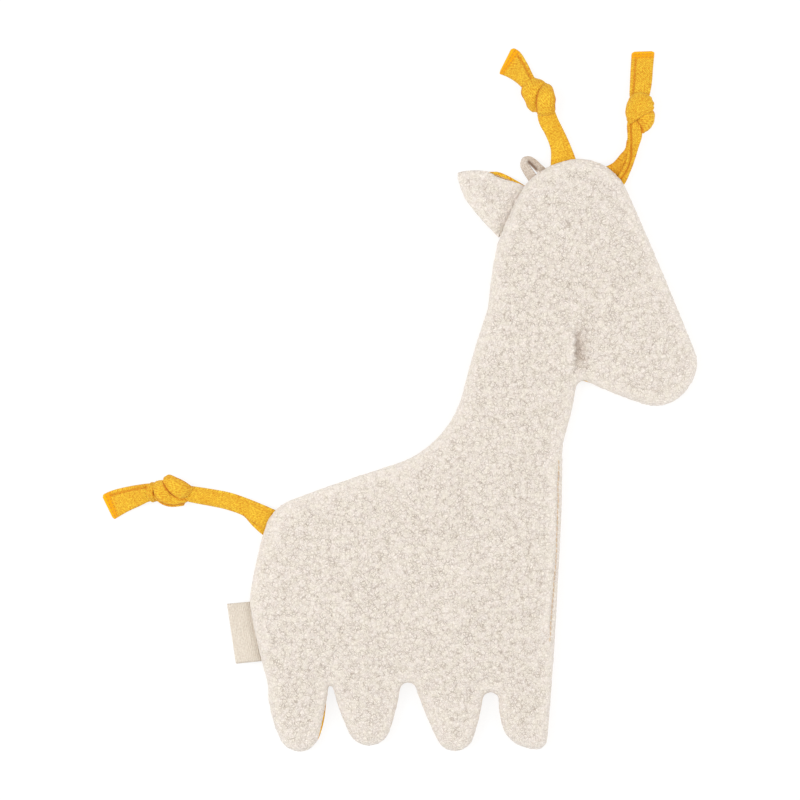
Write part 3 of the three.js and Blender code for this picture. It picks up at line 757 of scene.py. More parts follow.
stitch_row = result(
    stitch, "GeometryNodeInstanceOnPoints",
    {"Points": stitch_points[0], "Instance": stitch_body, "Rotation": stitch_turn},
)
stitch_real = result(stitch, "GeometryNodeRealizeInstances", {0: stitch_row})
stitch_dressed = {"Geometry": stitch_real, "Material": stitch_in["Fibre"]}
stitch_dressed = result(stitch, "GeometryNodeSetMaterial", stitch_dressed)
add_node(stitch, "NodeGroupOutput", {0: stitch_dressed})


def thread_material(name, shade, light):
    material, tree, shader = new_material(name)
    ply = speckle(tree, object_place(tree), scale=2600.0)
    tint = mixed(tree, ply, shade, light)
    surfaced(tree, shader, tint, ply, strength=0.5, depth=0.2, finish={"Roughness": 0.6})
    return material


def stitch_row_piece(name, lines, material, pitch, length, thread, slant):
    points, edges, facing = [], [], []
    for path, face, closed in lines:
        start = len(points)
        points += [tuple(point) for point in np.asarray(path) * mm]
        facing.append(np.broadcast_to(np.asarray(face, float), (len(path), 3)))
        edges += [(start + step, start + step + 1) for step in range(len(path) - 1)]
        if closed:
            edges.append((start + len(path) - 1, start))
    mesh = bpy.data.meshes.new(name)
    mesh.from_pydata(points, edges, [])
    attribute = mesh.attributes.new("face", "FLOAT_VECTOR", "POINT")
    attribute.data.foreach_set("vector", np.concatenate(facing).astype(np.float32).ravel())
    sizes = {"Pitch": pitch * mm, "Length": length * mm, "Thread": thread * mm, "Slant": slant}
    return grown(linked(name, mesh), stitch, {**sizes, "Fibre": material})


tan_thread = thread_material("tan_thread", colour(202, 168, 128), colour(232, 206, 172))
seam_ring = outline(seam_inset, spacing=1.5)
seam_line = (raised(seam_ring, seam_height), raised(outward_of(seam_ring), 0), True)
perimeter_seam = stitch_row_piece(
    "perimeter_stitches", [seam_line], tan_thread, pitch=2.4, length=2.1, thread=0.55, slant=0.25
)
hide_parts("perimeter_seam")
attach(perimeter_seam, "body")

closing_y = np.linspace(*closing_path[[0, -1], 1], closing_steps)
closing_x = np.interp(-closing_y, -closing_path[:, 1], closing_path[:, 0])
closing_x += closing_waver * ripple(raised(np.column_stack([closing_x, closing_y]), 0), size=6.0, seed=9)
closing_line = []
for x, y in zip(closing_x, closing_y):
    near = back_upper & (np.hypot(back_places[:, 0] - x, back_places[:, 1] - y) < closing_width)
    closing_line.append((x, y, back_places[near, 2].mean() + closing_thread_above))
closing_stitch = stitch_row_piece(
    "closing_stitches", [(closing_line, closing_facing, False)], tan_thread,
    pitch=2.3, length=1.9, thread=0.3, slant=0.12,
)
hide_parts("closing_stitch")
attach(closing_stitch, "body")

# Horns and tail: three straps of mustard jersey, folded lengthwise and stitched along one edge, hemmed at the
# free end and tied in an overhand knot. Their roots are caught in the body's seam.
strap_jersey = woven_material(
    "mustard_jersey_strap", mustard_shade, mustard_light, pitch=0.95, slant=0.75, relief=0.5, by_cloth=True
)


def tinted(material, attribute_name, tint):
    tree = material.node_tree
    base = tree.nodes["Principled BSDF"].inputs["Base Color"]
    share = attribute_of(tree, attribute_name)
    tree.links.new(mixed(tree, share, base.links[0].from_socket, tint), base)


tinted(strap_jersey, "hem", colour(255, 184, 4))
# Besides the hem's own tint, the strap carries painted shade on its cupped edges, stitched groove, hem band
# and gore.
tinted(strap_jersey, "painted_shade", colour(198, 106, 2))
mustard_thread = thread_material("mustard_thread", colour(204, 128, 10), colour(238, 170, 30))
ring_step = 0.45
fewest_rings = 8
track_detail = 40
half_sides = 12
cap_sides = 4
flattest_cup = 0.001
hem_depth = 3.1
hem_lip = 1.1
hem_step = 0.12
hem_bulk = 0.35
hem_shade = 0.3
hem_rows = (1.4, 2.8)
tip_round = 0.8
tip_least = 0.06
tip_corner = 1.1
root_start = 0.4
root_taper = 3.5
cloth_bulk = 19.0
strap_thickness = (1.5, 2.5)
strap_slack = 0.3
slack_waves = ((1.0, 12, 2.4), (0.4, 3, 4))
strap_groove = 0.55
plain_groove = 0.14
groove_width = 0.4
# Painted shade of the stitched groove, the cupped edges, the hem's stitched band and the gore.
groove_shade = 0.7
groove_from_edge = 1.9
edge_shade = 0.95
edge_shade_from = 0.78
edge_shade_curve = 1.5
edge_shade_cup = 0.5
edge_shade_cup_range = 0.3
gore_shade = 0.3
up = (0, 0, 1)
down = (0, 0, -1)


# A row is a place along a strap, in millimetres: its two edges where it lies flat, or its middle, width and
# the way its outer face looks where it turns, and last how far its edges cup. A strap is sewn as one length.
# Here it is a neck, the turns of its knot and a free end, whose ends meet out of sight inside the knot.
rear_horn_lengths = {
    "neck": [
        ((63.5, 96.8, 2.85), (74.3, 99.7, 2.85), 0.0),
        ((63.2, 98.3, 2.9), (73.8, 101.2, 2.9), 0.05),
        ((63.1, 105.4, 3.0), (71.3, 107.7, 3.3), 0.2),
        ((60.7, 111.6, 3.4), (68.5, 113.9, 3.6), 0.35),
        ((58.4, 115.6, 3.9), (66.5, 117.9, 4.0), 0.45),
        ((57.4, 119.6, 4.7), (65.1, 121.3, 4.7), 0.5),
        ((58.0, 123.9, 4.8), (63.7, 124.8, 4.8), 0.4),
    ],
    "turns": [
        ((61.4, 122.7, 4.2), 7.0, (0.2, -0.9, -0.3), 0.3),
        ((61.3, 120.5, 5.6), 8.2, (0.1, -0.85, 0.5), 0.6),
        ((60.9, 123.1, 7.7), 9.0, (0, -0.2, 0.98), 0.9),
        ((61.1, 126.4, 8.5), 9.4, up, 1.0),
        ((61.4, 129.3, 7.7), 7.6, (0.15, 0.45, 0.88), 0.9),
        ((61.6, 131.4, 5.2), 5.0, (0.2, 0.95, 0.1), 0.7),
        ((59.5, 128.1, 2.2), 6.0, down, 0.4),
        ((57.2, 123.6, 2.2), 6.0, (-0.3, -0.6, -0.7), 0.4),
        ((55.8, 122.4, 3.8), 6.0, (-0.5, -0.85, 0.1), 0.6),
        ((51.9, 125.6, 4.8), (58.4, 124.2, 6.0), 0.7),
        ((50.2, 128.6, 5.6), (60.4, 128.6, 6.8), 0.7),
        ((50.9, 132.0, 5.7), (61.6, 131.0, 6.2), 0.6),
        ((53.6, 134.9, 4.4), (62.6, 131.9, 4.6), 0.4),
        ((58.2, 133.4, 2.8), 7.6, (0.3, 0.6, -0.75), 0.3),
        ((57.4, 131.0, 2.4), 6.4, down, 0.2),
    ],
    "free end": [
        ((54.2, 127.9, 4.4), (60.2, 130.0, 4.4), 0.3),
        ((50.5, 131.6, 4.3), (56.8, 135.0, 4.3), 0.35),
        ((49.0, 133.1, 3.6), (55.5, 137.4, 3.6), 0.3),
        ((46.0, 135.3, 2.6), (53.2, 142.0, 2.6), 0.15),
        ((42.8, 136.8, 1.7), (50.0, 146.7, 1.9), 0.05),
        ((41.4, 137.3, 1.3), (47.0, 148.5, 1.4), 0.0),
    ],
}
front_horn_lengths = {
    "gore": [
        ((85.0, 96.6, 3.0), (92.4, 90.6, 2.0), 0.0),
        ((86.0, 97.8, 3.6), (93.3, 91.8, 1.6), 0.0),
        ((89.3, 99.6, 4.9), (95.4, 95.8, 1.5), 0.0),
        ((92.3, 102.9, 5.3), (97.5, 100.2, 1.7), 0.1),
        ((94.4, 105.5, 5.2), (98.3, 104.5, 2.6), 0.2),
        ((95.1, 109.2, 5.0), (99.2, 108.8, 3.6), 0.2),
    ],
    "neck": [
        ((89.9, 92.6, 3.0), (93.5, 90.0, 2.85), 0.0),
        ((90.8, 93.8, 3.3), (94.5, 91.1, 2.9), 0.1),
        ((92.8, 96.4, 4.4), (96.5, 95.4, 4.0), 0.2),
        ((94.7, 100.8, 4.8), (98.7, 101.4, 4.5), 0.3),
        ((95.1, 105.9, 4.9), (100.2, 106.3, 4.7), 0.35),
        ((95.2, 110.9, 4.8), (101.6, 110.7, 4.7), 0.4),
        ((95.2, 116.8, 4.6), (101.6, 116.8, 4.5), 0.4),
        ((98.1, 122.7, 4.5), (103.2, 123.1, 4.5), 0.4),
    ],
    "turns": [
        ((99.9, 122.3, 5.0), 6.4, up, 0.4),
        ((104.8, 123.2, 5.4), (99.0, 117.0, 6.5), 0.75),
        ((107.0, 121.4, 5.0), (101.6, 112.8, 5.9), 0.8),
        ((104.5, 115.7, 3.8), 10.8, (0.84, -0.5, 0.12), 0.6),
        ((103.3, 116.5, 2.0), 8.6, (0.4, -0.3, -0.85), 0.35),
        ((99.8, 118.2, 1.8), 6.6, down, 0.3),
        ((96.4, 120.8, 2.6), 9.6, (-0.8, -0.1, -0.6), 0.5),
        ((95.8, 121.7, 4.8), 11.8, (-0.96, 0.12, 0.2), 0.5),
        ((97.2, 128.7, 6.8), (95.9, 115.7, 6.8), 0.5),
        ((99.8, 129.0, 8.2), (99.3, 117.4, 8.2), 0.5),
        ((102.4, 128.9, 8.0), (102.9, 119.5, 8.0), 0.5),
        ((103.7, 128.2, 6.4), (106.0, 121.4, 6.4), 0.45),
        ((103.9, 124.9, 4.2), 6.2, (0.9, 0.28, -0.25), 0.4),
        ((103.2, 124.6, 2.8), 6.4, (0.5, 0.2, -0.85), 0.3),
        ((101.1, 124.3, 2.2), 6.4, down, 0.2),
    ],
    "free end": [
        ((97.5, 121.8, 4.0), (103.8, 122.7, 4.0), 0.3),
        ((96.2, 127.5, 4.1), (105.0, 128.8, 4.1), 0.3),
        ((96.4, 132.8, 3.2), (105.8, 133.6, 3.2), 0.2),
        ((96.8, 139.5, 2.1), (106.3, 139.9, 2.2), 0.08),
        ((97.3, 146.5, 1.3), (107.0, 146.8, 1.4), 0.0),
    ],
}
tail_lengths = {
    "flap": [
        ((-57.0, -57.0, 2.6), (-54.3, -52.5, 2.6), 0.0),
        ((-58.1, -56.5, 2.5), (-55.4, -51.4, 2.5), 0.0),
        ((-62.2, -52.9, 2.2), (-59.6, -48.9, 2.2), 0.1),
        ((-65.2, -49.5, 2.3), (-63.4, -46.2, 2.3), 0.2),
        ((-68.8, -46.4, 2.6), (-67.6, -43.6, 2.6), 0.2),
    ],
    "neck": [
        ((-55.4, -55.0, 3.2), (-51.3, -46.8, 2.85), 0.0),
        ((-56.5, -54.4, 3.6), (-52.5, -46.2, 2.9), 0.1),
        ((-61.9, -51.2, 4.4), (-57.8, -43.8, 3.2), 0.2),
        ((-67.0, -48.2, 4.0), (-64.1, -41.2, 3.4), 0.3),
        ((-73.3, -46.1, 3.7), (-71.2, -38.8, 3.5), 0.35),
        ((-79.2, -44.8, 3.7), (-78.0, -37.4, 3.6), 0.4),
        ((-85.1, -43.7, 4.0), (-84.3, -36.4, 4.0), 0.45),
        ((-89.7, -42.7, 4.5), (-89.1, -35.8, 4.5), 0.5),
        ((-95.4, -41.2, 4.3), (-95.2, -36.0, 4.3), 0.4),
    ],
    "turns": [
        ((-91.1, -38.5, 4.0), 6.6, (0.6, -0.55, -0.6), 0.3),
        ((-89.8, -39.2, 5.2), 7.6, (0.66, -0.68, 0.3), 0.5),
        ((-90.9, -38.4, 7.0), 8.2, (0.35, -0.28, 0.9), 0.7),
        ((-93.3, -36.7, 7.9), 8.0, up, 0.7),
        ((-96.0, -34.8, 7.4), 6.8, (-0.3, 0.25, 0.92), 0.7),
        ((-98.0, -33.1, 5.2), 4.8, (-0.7, 0.55, 0.4), 0.6),
        ((-97.4, -34.0, 2.8), 4.8, (-0.3, 0.3, -0.9), 0.4),
        ((-95.5, -36.9, 2.1), 5.4, down, 0.3),
    ],
    "wrap": [
        ((-94.2, -39.4, 2.2), 6.0, down, 0.2),
        ((-91.4, -42.1, 2.6), 4.8, (0.6, -0.7, -0.4), 0.4),
        ((-90.9, -42.6, 4.2), 4.4, (0.85, -0.5, 0.15), 0.5),
        ((-92.7, -42.9, 5.6), 4.4, (0.3, -0.5, 0.8), 0.7),
        ((-96.4, -42.3, 6.5), 6.3, (0, -0.35, 0.93), 0.8),
        ((-100.1, -40.0, 7.3), 7.8, (-0.3, -0.2, 0.93), 0.9),
        ((-101.7, -37.1, 6.8), 7.2, (-0.5, 0.3, 0.8), 0.8),
        ((-101.8, -35.2, 4.4), 6.2, (-0.4, 0.85, 0.2), 0.6),
        ((-101.2, -36.0, 2.6), 5.8, (0, 0.5, -0.85), 0.4),
        ((-99.7, -38.2, 2.2), 5.4, down, 0.2),
    ],
    "crescent": [
        ((-102.4, -36.6, 2.6), 3.0, (-0.2, 0.5, -0.85), 0.2),
        ((-103.8, -35.6, 4.6), 3.2, (-0.4, 0.7, 0.6), 0.5),
        ((-104.9, -37.4, 6.0), 3.4, (-0.4, 0.25, 0.88), 0.7),
        ((-104.9, -39.8, 6.1), 3.4, (-0.4, -0.2, 0.9), 0.7),
        ((-103.8, -41.6, 4.6), 3.2, (-0.3, -0.75, 0.6), 0.5),
        ((-102.2, -40.9, 2.6), 3.0, (0, -0.5, -0.85), 0.2),
    ],
    "free end": [
        ((-96.6, -42.0, 3.9), (-97.2, -35.6, 3.9), 0.3),
        ((-105.2, -42.7, 3.9), (-105.6, -34.9, 3.9), 0.35),
        ((-109.8, -44.7, 3.0), (-110.2, -35.5, 3.0), 0.25),
        ((-114.8, -47.0, 2.0), (-115.4, -36.5, 2.1), 0.1),
        ((-118.3, -49.0, 1.6), (-121.8, -38.2, 1.6), 0.04),
        ((-120.6, -50.4, 1.3), (-125.7, -40.0, 1.4), 0.0),
    ],
}


def run_along(points):
    return np.concatenate([[0], np.cumsum(np.linalg.norm(np.diff(points, axis=0), axis=1))])


def laid(row):
    if len(row) == 4:
        middle, width, face, cup = row
        return np.array(middle, float), width, np.array(face, float), None, cup
    left, right = np.array(row[:2], float)
    return (left + right) / 2, np.linalg.norm(right - left), None, right - left, row[2]


# The track of a strap passes smoothly through its rows: place, direction across, width and cup at each step.
def track_of(rows):
    places, widths, faces, sides, cups = zip(*[laid(row) for row in rows])
    places = np.array(places)
    knots = np.concatenate([[0], np.cumsum(np.sqrt(np.linalg.norm(np.diff(places, axis=0), axis=1)))])
    ahead = np.gradient(places, knots, axis=0)
    across = [side if face is None else np.cross(run, face) for run, face, side in zip(ahead, faces, sides)]
    values = np.column_stack([places, unit(np.array(across)), widths, cups])
    slopes = np.gradient(values, knots, axis=0)
    shares = np.linspace(0, 1, track_detail)[:, None]
    cubed, squared = shares ** 3, shares ** 2
    spans = [values[:1]]
    for span, length in enumerate(np.diff(knots)):
        near = (2 * cubed - 3 * squared + 1) * values[span]
        leaving = (cubed - 2 * squared + shares) * slopes[span] * length
        far = (3 * squared - 2 * cubed) * values[span + 1]
        arriving = (cubed - squared) * slopes[span + 1] * length
        spans.append((near + leaving + (far + arriving))[1:])
    dense = np.concatenate(spans)
    lengths = run_along(dense[:, :3])
    steps = np.linspace(0, lengths[-1], max(fewest_rings, round(lengths[-1] / ring_step)))
    return np.column_stack([np.interp(steps, lengths, column) for column in dense.T]), steps


def hem_shape(left_over):
    hem, lip = [1 / (1 + math.exp((left_over - depth) / hem_step)) for depth in (hem_depth, hem_lip)]
    tip = math.sqrt(max(tip_least, 1 - max(0, 1 - left_over / tip_round) ** 2))
    corner = tip_corner - math.sqrt(max(0, tip_corner ** 2 - max(0, tip_corner - left_over) ** 2))
    return hem, lip, tip, corner


def looseness(step, share, seed):
    loose = 0.0
    for weight, length, folds in slack_waves:
        loose += weight * noise.noise(Vector((step / length, share * folds, seed)))
    return loose


# The rings are the cross-sections of the cloth along that track, with its run for the weave, its hem and the
# painted shade of its cupped edges, stitched groove, hem band and shaded parts.
def cloth_rings(rows, thickness_range, edge, groove, slack, seed, hemmed=False, rooted=False, shade=0.0):
    track, steps = track_of(rows)
    along = unit(np.gradient(track[:, :3], axis=0))
    across = unit(track[:, 3:6])
    face = unit(np.cross(across, along))
    shares = np.linspace(-1, 1, 2 * half_sides + 1)
    rings, cloth, hems, painted_shades, stitched = [], [], [], [], []
    for index, step in enumerate(steps):
        place, width, cup = track[index, :3], track[index, 6], max(track[index, 7], flattest_cup)
        hem, lip, tip, corner = hem_shape(steps[-1] - step) if hemmed else (0.0, 0.0, 1.0, 0.0)
        root = min(1, root_start + step / root_taper) if rooted else 1.0
        thickness = np.clip(cloth_bulk / width, *thickness_range) * (1 + hem_bulk * hem) * tip * root
        half = (width - thickness) / 2 - corner
        angles = cup * shares
        loose = np.array([looseness(step, share, seed) for share in shares])
        aside = half / cup * np.sin(angles)
        lift = half / cup * (np.cos(angles) - 1) + half * cup / 6 + slack * loose * root * (1 - hem)
        sunk_at = edge * (1 - (groove_from_edge - thickness / 2) / half)
        sewn = np.exp(-(((shares - sunk_at) * half / groove_width) ** 2)) * root * (1 - hem)
        sunk = groove * sewn
        points = []
        for side in (1, -1):
            order = list(range(len(shares)))[::side]
            for at in order:
                normal = side * np.array([math.sin(angles[at]), math.cos(angles[at])])
                points.append(np.array([aside[at], lift[at]]) + normal * (thickness / 2 - sunk[at]))
                cloth.append((step, side * shares[at] * width / 2 + width * (side < 0)))
            end = order[-1]
            turn_from = math.atan2(side * math.cos(angles[end]), side * math.sin(angles[end]))
            for cap in range(1, cap_sides):
                turn = turn_from - math.pi * cap / cap_sides
                spoke = np.array([math.cos(turn), math.sin(turn)]) * thickness / 2
                points.append(np.array([aside[end], lift[end]]) + spoke)
                cloth.append((step, width / 2 + width * (side < 0)))
        points = np.array(points)
        hems += [hem] * len(points)
        # Painted shade: darker towards the edges where the cloth cups, on the hem's stitched band, over all
        # of a shaded part such as the gore, and along the stitched groove.
        edgeward = np.abs(points[:, 0]) / np.abs(points[:, 0]).max()
        ring_shade = np.clip((edgeward - edge_shade_from) / (1 - edge_shade_from), 0, 1) ** edge_shade_curve
        ring_shade *= edge_shade * min(1, max(0, (cup - edge_shade_cup) / edge_shade_cup_range))
        ring_shade = np.maximum(ring_shade, shade + hem_shade * (hem - lip))
        upper = slice(len(shares))
        ring_shade[upper] = np.maximum(ring_shade[upper], groove_shade * groove / strap_groove * sewn)
        painted_shades += list(ring_shade)
        rings.append(place + points[:, :1] * across[index] + points[:, 1:] * face[index])
        stitched.append([np.interp(sunk_at, shares, rings[-1][upper, axis]) for axis in range(3)])
    return np.array(rings), cloth, hems, painted_shades, np.array(stitched), face, steps


def swept_piece(name, sweeps, material):
    points, faces, cloth, hems, painted_shades = [], [], [], [], []
    start = 0
    for rings, marks, hem, ring_shade, *_ in sweeps:
        levels, count = rings.shape[:2]
        points.append(rings.reshape(-1, 3))
        hems += hem
        painted_shades += ring_shade
        marks = np.array(marks, np.float32).reshape(levels, count, 2)
        # After a full turn the first column is met again, and the run across has grown by two widths.
        around = np.concatenate([marks, marks[:, :1] * (1, -3)], axis=1)
        for level in range(levels - 1):
            for side in range(count):
                here = start + level * count + side
                beside = start + level * count + (side + 1) % count
                faces.append((here, here + count, beside + count, beside))
                cloth += [around[level, side], around[level + 1, side]]
                cloth += [around[level + 1, side + 1], around[level, side + 1]]
        last = start + (levels - 1) * count
        faces.append(tuple(range(start, start + count)))
        faces.append(tuple(range(last + count - 1, last - 1, -1)))
        cloth += [*marks[0], *marks[-1][::-1]]
        start += levels * count
    piece = piece_mesh(name, np.concatenate(points), faces, material)
    piece.data.uv_layers.new(name="cloth").data.foreach_set("uv", np.array(cloth, np.float32).ravel())
    marked(piece, "hem", hems)
    marked(piece, "painted_shade", painted_shades)
    return piece


def fold_line(joint_name):
    joint = next(joint for joint in frame["joints"] if joint["name"] == joint_name)
    axis = Vector(joint["axis"])
    return Vector(joint["pos_m"]), axis, Vector(up).cross(axis)


def bent_at_seam(piece):
    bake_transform(piece)


knotted_share = 0.28
edge_thread_above = 0.05
hem_thread_above = 0.02
for strap_name, lengths, edges, strap_length, seed in (
    ("rear_horn", rear_horn_lengths, {"free end": 1}, 0.106, 11),
    ("front_horn", front_horn_lengths, {"free end": -1, "neck": -1}, 0.108, 23),
    ("tail", tail_lengths, {"free end": 1, "wrap": -1}, 0.13, 37),
):
    sweeps = {}
    for order, (part, rows) in enumerate(lengths.items()):
        sweeps[part] = cloth_rings(
            rows, strap_thickness, edge=edges.get(part, 1),
            groove=strap_groove if part in edges else plain_groove, slack=strap_slack, seed=seed + order,
            hemmed=part == "free end", rooted=part in ("neck", "gore", "flap"),
            shade=gore_shade if part == "gore" else 0.0,
        )
    strap = swept_piece("knotted_" + strap_name, sweeps.values(), strap_jersey)
    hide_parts(strap_name)
    bent_at_seam(strap)
    rings, *_, stitched, face, steps = sweeps["free end"]
    sewn = (steps > knotted_share * steps[-1]) & (steps < steps[-1] - hem_depth)
    lines = [(stitched[sewn] + edge_thread_above * face[sewn], face[sewn], False)]
    for back in hem_rows:
        row = np.argmin(np.abs(steps[-1] - back - steps))
        across_hem = rings[row, 1:2 * half_sides] + hem_thread_above * face[row]
        lines.append((across_hem, face[row], False))
    sewing = stitch_row_piece(
        "stitches_" + strap_name, lines, mustard_thread, pitch=1.5, length=1.25, thread=0.42, slant=0.12
    )
    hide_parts(strap_name + "_stitching")
    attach(sewing, strap_name)

# Ear: a leaf of boucle lined with mustard jersey, sewn together round the edge and turned. Its open end is
# caught in the seam of the head, and a sliver of the lining shows along the upper edge.
ear_cut = np.array([
    (-12.4, -4.2, 0.6), (12.3, -6.8, 0.6), (11.3, 12.3, 2.5), (5.3, 24.0, 1.2), (-3.8, 16.0, 12.0),
])
ear_middle = (0, 0)
ear_foot = 0.8
ear_roll = 1.7
ear_loft = 2.6
ear_crown = 0.5
ear_crown_reach = 4
ear_wave = 0.35
ear_drawn_in = 1.1
ear_curl_share = 0.8
ear_stitch_inset = 0.6
ear_sewn_from = 0.5
pinch_from = -4.2
pinch_reach = 5.5
pinch_least = 0.3
lining_depth = 1.2
lining_foot = 0.6
lining_foot_roll = 0.9
lining_top_roll = 0.6
lining_shy = 0.6
lining_peeping = 1.7
ear_seam_line, ear_axis, ear_out = [np.array(vector) for vector in fold_line("ear_fold")]


def beside_head(points):
    rise = points[:, 2] - seam_height
    pinch = np.clip((points[:, 1] - pinch_from) / pinch_reach, 0, 1)
    pinch = pinch_least + (1 - pinch_least) * pinch * pinch * (3 - 2 * pinch)
    placed = ear_seam_line / mm + points[:, :1] * ear_axis + points[:, 1:2] * ear_out
    placed[:, 2] = seam_height + rise * pinch
    return placed


def upper_edge(points, middle, below, above, full_at):
    reach = np.where(points[:, 1] < middle, below, above)
    near = np.exp(-(((points[:, 1] - middle) / reach) ** 2))
    return near * np.clip(points[:, 0] / full_at, 0, 1) ** 2


ear_edge = seam_high + ear_foot
ear_levels = rolled_edge(ear_foot, seam_high, ear_edge, ear_roll, seam_high + ear_loft, steps=(2, 3))
ear_points, ear_faces, ear_count = panel_shell(
    ear_levels, spacing=1.6, low_pitch=40.0, high_pitch=1.7, cut=ear_cut, middle=ear_middle
)
ear_depth = edge_distance(ear_points[:, :2], outline(0, 1.0, ear_cut, ear_middle))
ear_raised = ear_points[:, 2] > ear_edge - roll_margin
ear_points[ear_raised, 2] += ear_crown * (1 - np.exp(-ear_depth[ear_raised] / ear_crown_reach))
ear_points[ear_raised, 2] += ear_wave * ripple(ear_points[ear_raised], size=7.0, seed=6)
ear_points[:, 0] -= ear_drawn_in * upper_edge(ear_points, middle=6.5, below=7.0, above=4.0, full_at=11)
ear_back = piece_mesh("boucle_ear", beside_head(ear_points), ear_faces, boucle)
marked(ear_back, "shown", np.arange(len(ear_points)) >= ear_count)
# Painted highlight: along the ear's rim the shade painted between the curls is weaker.
marked(ear_back, "rim", np.exp(-((ear_depth / rim_light_width) ** 2)))
grown(ear_back, nap, {**curls, "Curl Height": curl_height * ear_curl_share})
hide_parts("ear_back")
bent_at_seam(ear_back)

lining_low = seam_low - lining_depth
lining_edge = lining_low + lining_foot
lining_levels = rolled_edge(
    lining_foot_roll, lining_low, lining_edge, lining_top_roll, seam_low, steps=(2, 2)
)
lining_levels = [(inset + lining_shy, z) for inset, z in lining_levels]
lining_points, lining_faces, _ = panel_shell(
    lining_levels, spacing=1.6, low_pitch=2.4, high_pitch=2.4, cut=ear_cut, middle=ear_middle
)
lining_upper = upper_edge(lining_points, middle=7.5, below=12.0, above=3.4, full_at=10)
lining_points[:, 0] += lining_peeping * lining_upper
ear_lining = piece_mesh("jersey_ear_lining", beside_head(lining_points), lining_faces, jersey_flat)
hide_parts("ear_lining")
bent_at_seam(ear_lining)

ear_ring = outline(ear_stitch_inset, 0.8, ear_cut, ear_middle)
ear_sewn = ear_ring[:, 1] > ear_sewn_from
ear_first = np.flatnonzero(ear_sewn & ~np.roll(ear_sewn, 1))[0]
ear_order = np.roll(np.arange(len(ear_ring)), -ear_first)[:ear_sewn.sum()]
ear_path = beside_head(raised(ear_ring, seam_height)[ear_order])
ear_facing = outward_of(ear_ring)[ear_order]
ear_facing = ear_facing[:, :1] * ear_axis + ear_facing[:, 1:] * ear_out
ear_seam = stitch_row_piece(
    "ear_stitches", [(ear_path, ear_facing, False)], tan_thread, pitch=2.2, length=1.9, thread=0.4, slant=0.2
)
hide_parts("ear_seam")
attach(ear_seam, "ear")

# Hanging loop: a short length of narrow taupe cotton tape, doubled over and leaning towards the ear, with
# both its ends caught in the seam of the head beside the rear horn.
taupe_tape = woven_material(
    "taupe_tape", colour(188, 166, 146), colour(250, 240, 228),
    pitch=0.9, slant=1.0, relief=0.8, by_cloth=True,
)
tape_thickness = (0.95, 0.95)
loop_slack = 0.06
loop_shade_width = 0.7
loop_rows = [
    ((57.0, 91.4, 2.85), 4.0, up, 0.1),
    ((55.3, 93.7, 3.2), 4.6, (-0.45, -0.2, 0.87), 0.1),
    ((53.4, 96.4, 4.0), 4.8, (-0.6, -0.1, 0.78), 0.15),
    ((52.1, 99.0, 4.5), 4.8, (-0.68, 0.2, 0.7), 0.2),
    ((52.4, 100.7, 4.7), 4.6, (-0.5, 0.55, 0.66), 0.25),
    ((54.0, 101.0, 4.7), 4.6, (0.1, 0.75, 0.65), 0.25),
    ((56.2, 99.5, 4.5), 5.1, (0.5, 0.55, 0.67), 0.2),
    ((58.3, 97.4, 4.0), 5.1, (0.5, 0.5, 0.7), 0.15),
    ((60.4, 95.6, 3.2), 4.5, (0.4, 0.4, 0.82), 0.1),
    ((61.6, 94.3, 2.85), 3.8, up, 0.1),
]
loop_sweep = cloth_rings(loop_rows, tape_thickness, edge=1, groove=0.0, slack=loop_slack, seed=53)
loop = swept_piece("tape_hanging_loop", [loop_sweep], taupe_tape)
# Painted shade: a band along the inner edge of the loop's slit is darkened.
loop_inner_shade, _ = falloff(places_of(loop)[:, :2], (53.9, 99.9), (57.0, 96.8), loop_shade_width)
marked(loop, "inside", loop_inner_shade)
tinted(taupe_tape, "inside", colour(122, 96, 78))
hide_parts("hanging_loop")
bent_at_seam(loop)

# Side tag: a length of cream twill tape folded in half, its two ends caught in the seam of the rump.
# Its layers gape a little.
cream_tape = woven_material(
    "cream_tape", colour(215, 201, 184), colour(240, 231, 217),
    pitch=0.75, slant=0.0, relief=0.8, by_cloth=True,
)
label_length = 25.4
label_reach = 8.4
label_root = -3.0
label_skew = 0.09
label_taper = 0.12
label_tape = 0.5
label_gape = 0.4
label_sway = 0.25
label_held = 4
label_shut = 0.35
label_rows = 24
label_wave = (9, 6)
label_seed = 61
fold_steps = 9
label_seam_line, label_axis, label_out = [np.array(vector) for vector in fold_line("label_fold")]
label_middle = (label_tape + label_gape) / 2
label_reaches = [label_root, label_root + 2.0, 1.5, 4.0, 6.2]
fold_middle = label_reach - label_middle - label_tape / 2
label_line = [(reach, label_middle) for reach in label_reaches]
for turn in np.linspace(math.pi / 2, -math.pi / 2, fold_steps):
    label_line.append((fold_middle + label_middle * math.cos(turn), label_middle * math.sin(turn)))
label_line += [(reach, -label_middle) for reach in label_reaches[::-1]]
label_line = np.array(label_line)
label_ahead = unit(np.gradient(label_line, axis=0))
label_side = np.column_stack([-label_ahead[:, 1], label_ahead[:, 0]]) * label_tape / 2
label_section = np.concatenate([label_line + label_side, (label_line - label_side)[::-1]])
label_run = run_along(label_line)
label_run = np.concatenate([label_run, label_run[::-1]])
label_points, label_marks = [], []
for share in np.linspace(-0.5, 0.5, label_rows + 1):
    for (reach, rise), run in zip(label_section, label_run):
        along = share * label_length + label_skew * reach
        freedom = min(1, max(0, reach / label_held))
        wave = noise.noise(Vector((along / label_wave[0], reach / label_wave[1], label_seed)))
        sway = label_sway * wave * freedom
        shut = label_shut + (1 - label_shut) * min(1, max(0, (reach - label_root) / label_held))
        out = reach * (1 - label_taper * share) if reach > 0 else reach
        placed = label_seam_line / mm + along * label_axis + out * label_out
        placed[2] += rise * shut + sway
        label_points.append(placed)
        label_marks.append((run, along))
count = len(label_section)
label_faces = tube_faces(label_rows + 1, count)
for row, flip in ((0, False), (label_rows, True)):
    for side in range(count // 2 - 1):
        quad = [row * count + at for at in (side, count - 1 - side, count - 2 - side, side + 1)]
        label_faces.append(tuple(quad[::-1] if flip else quad))
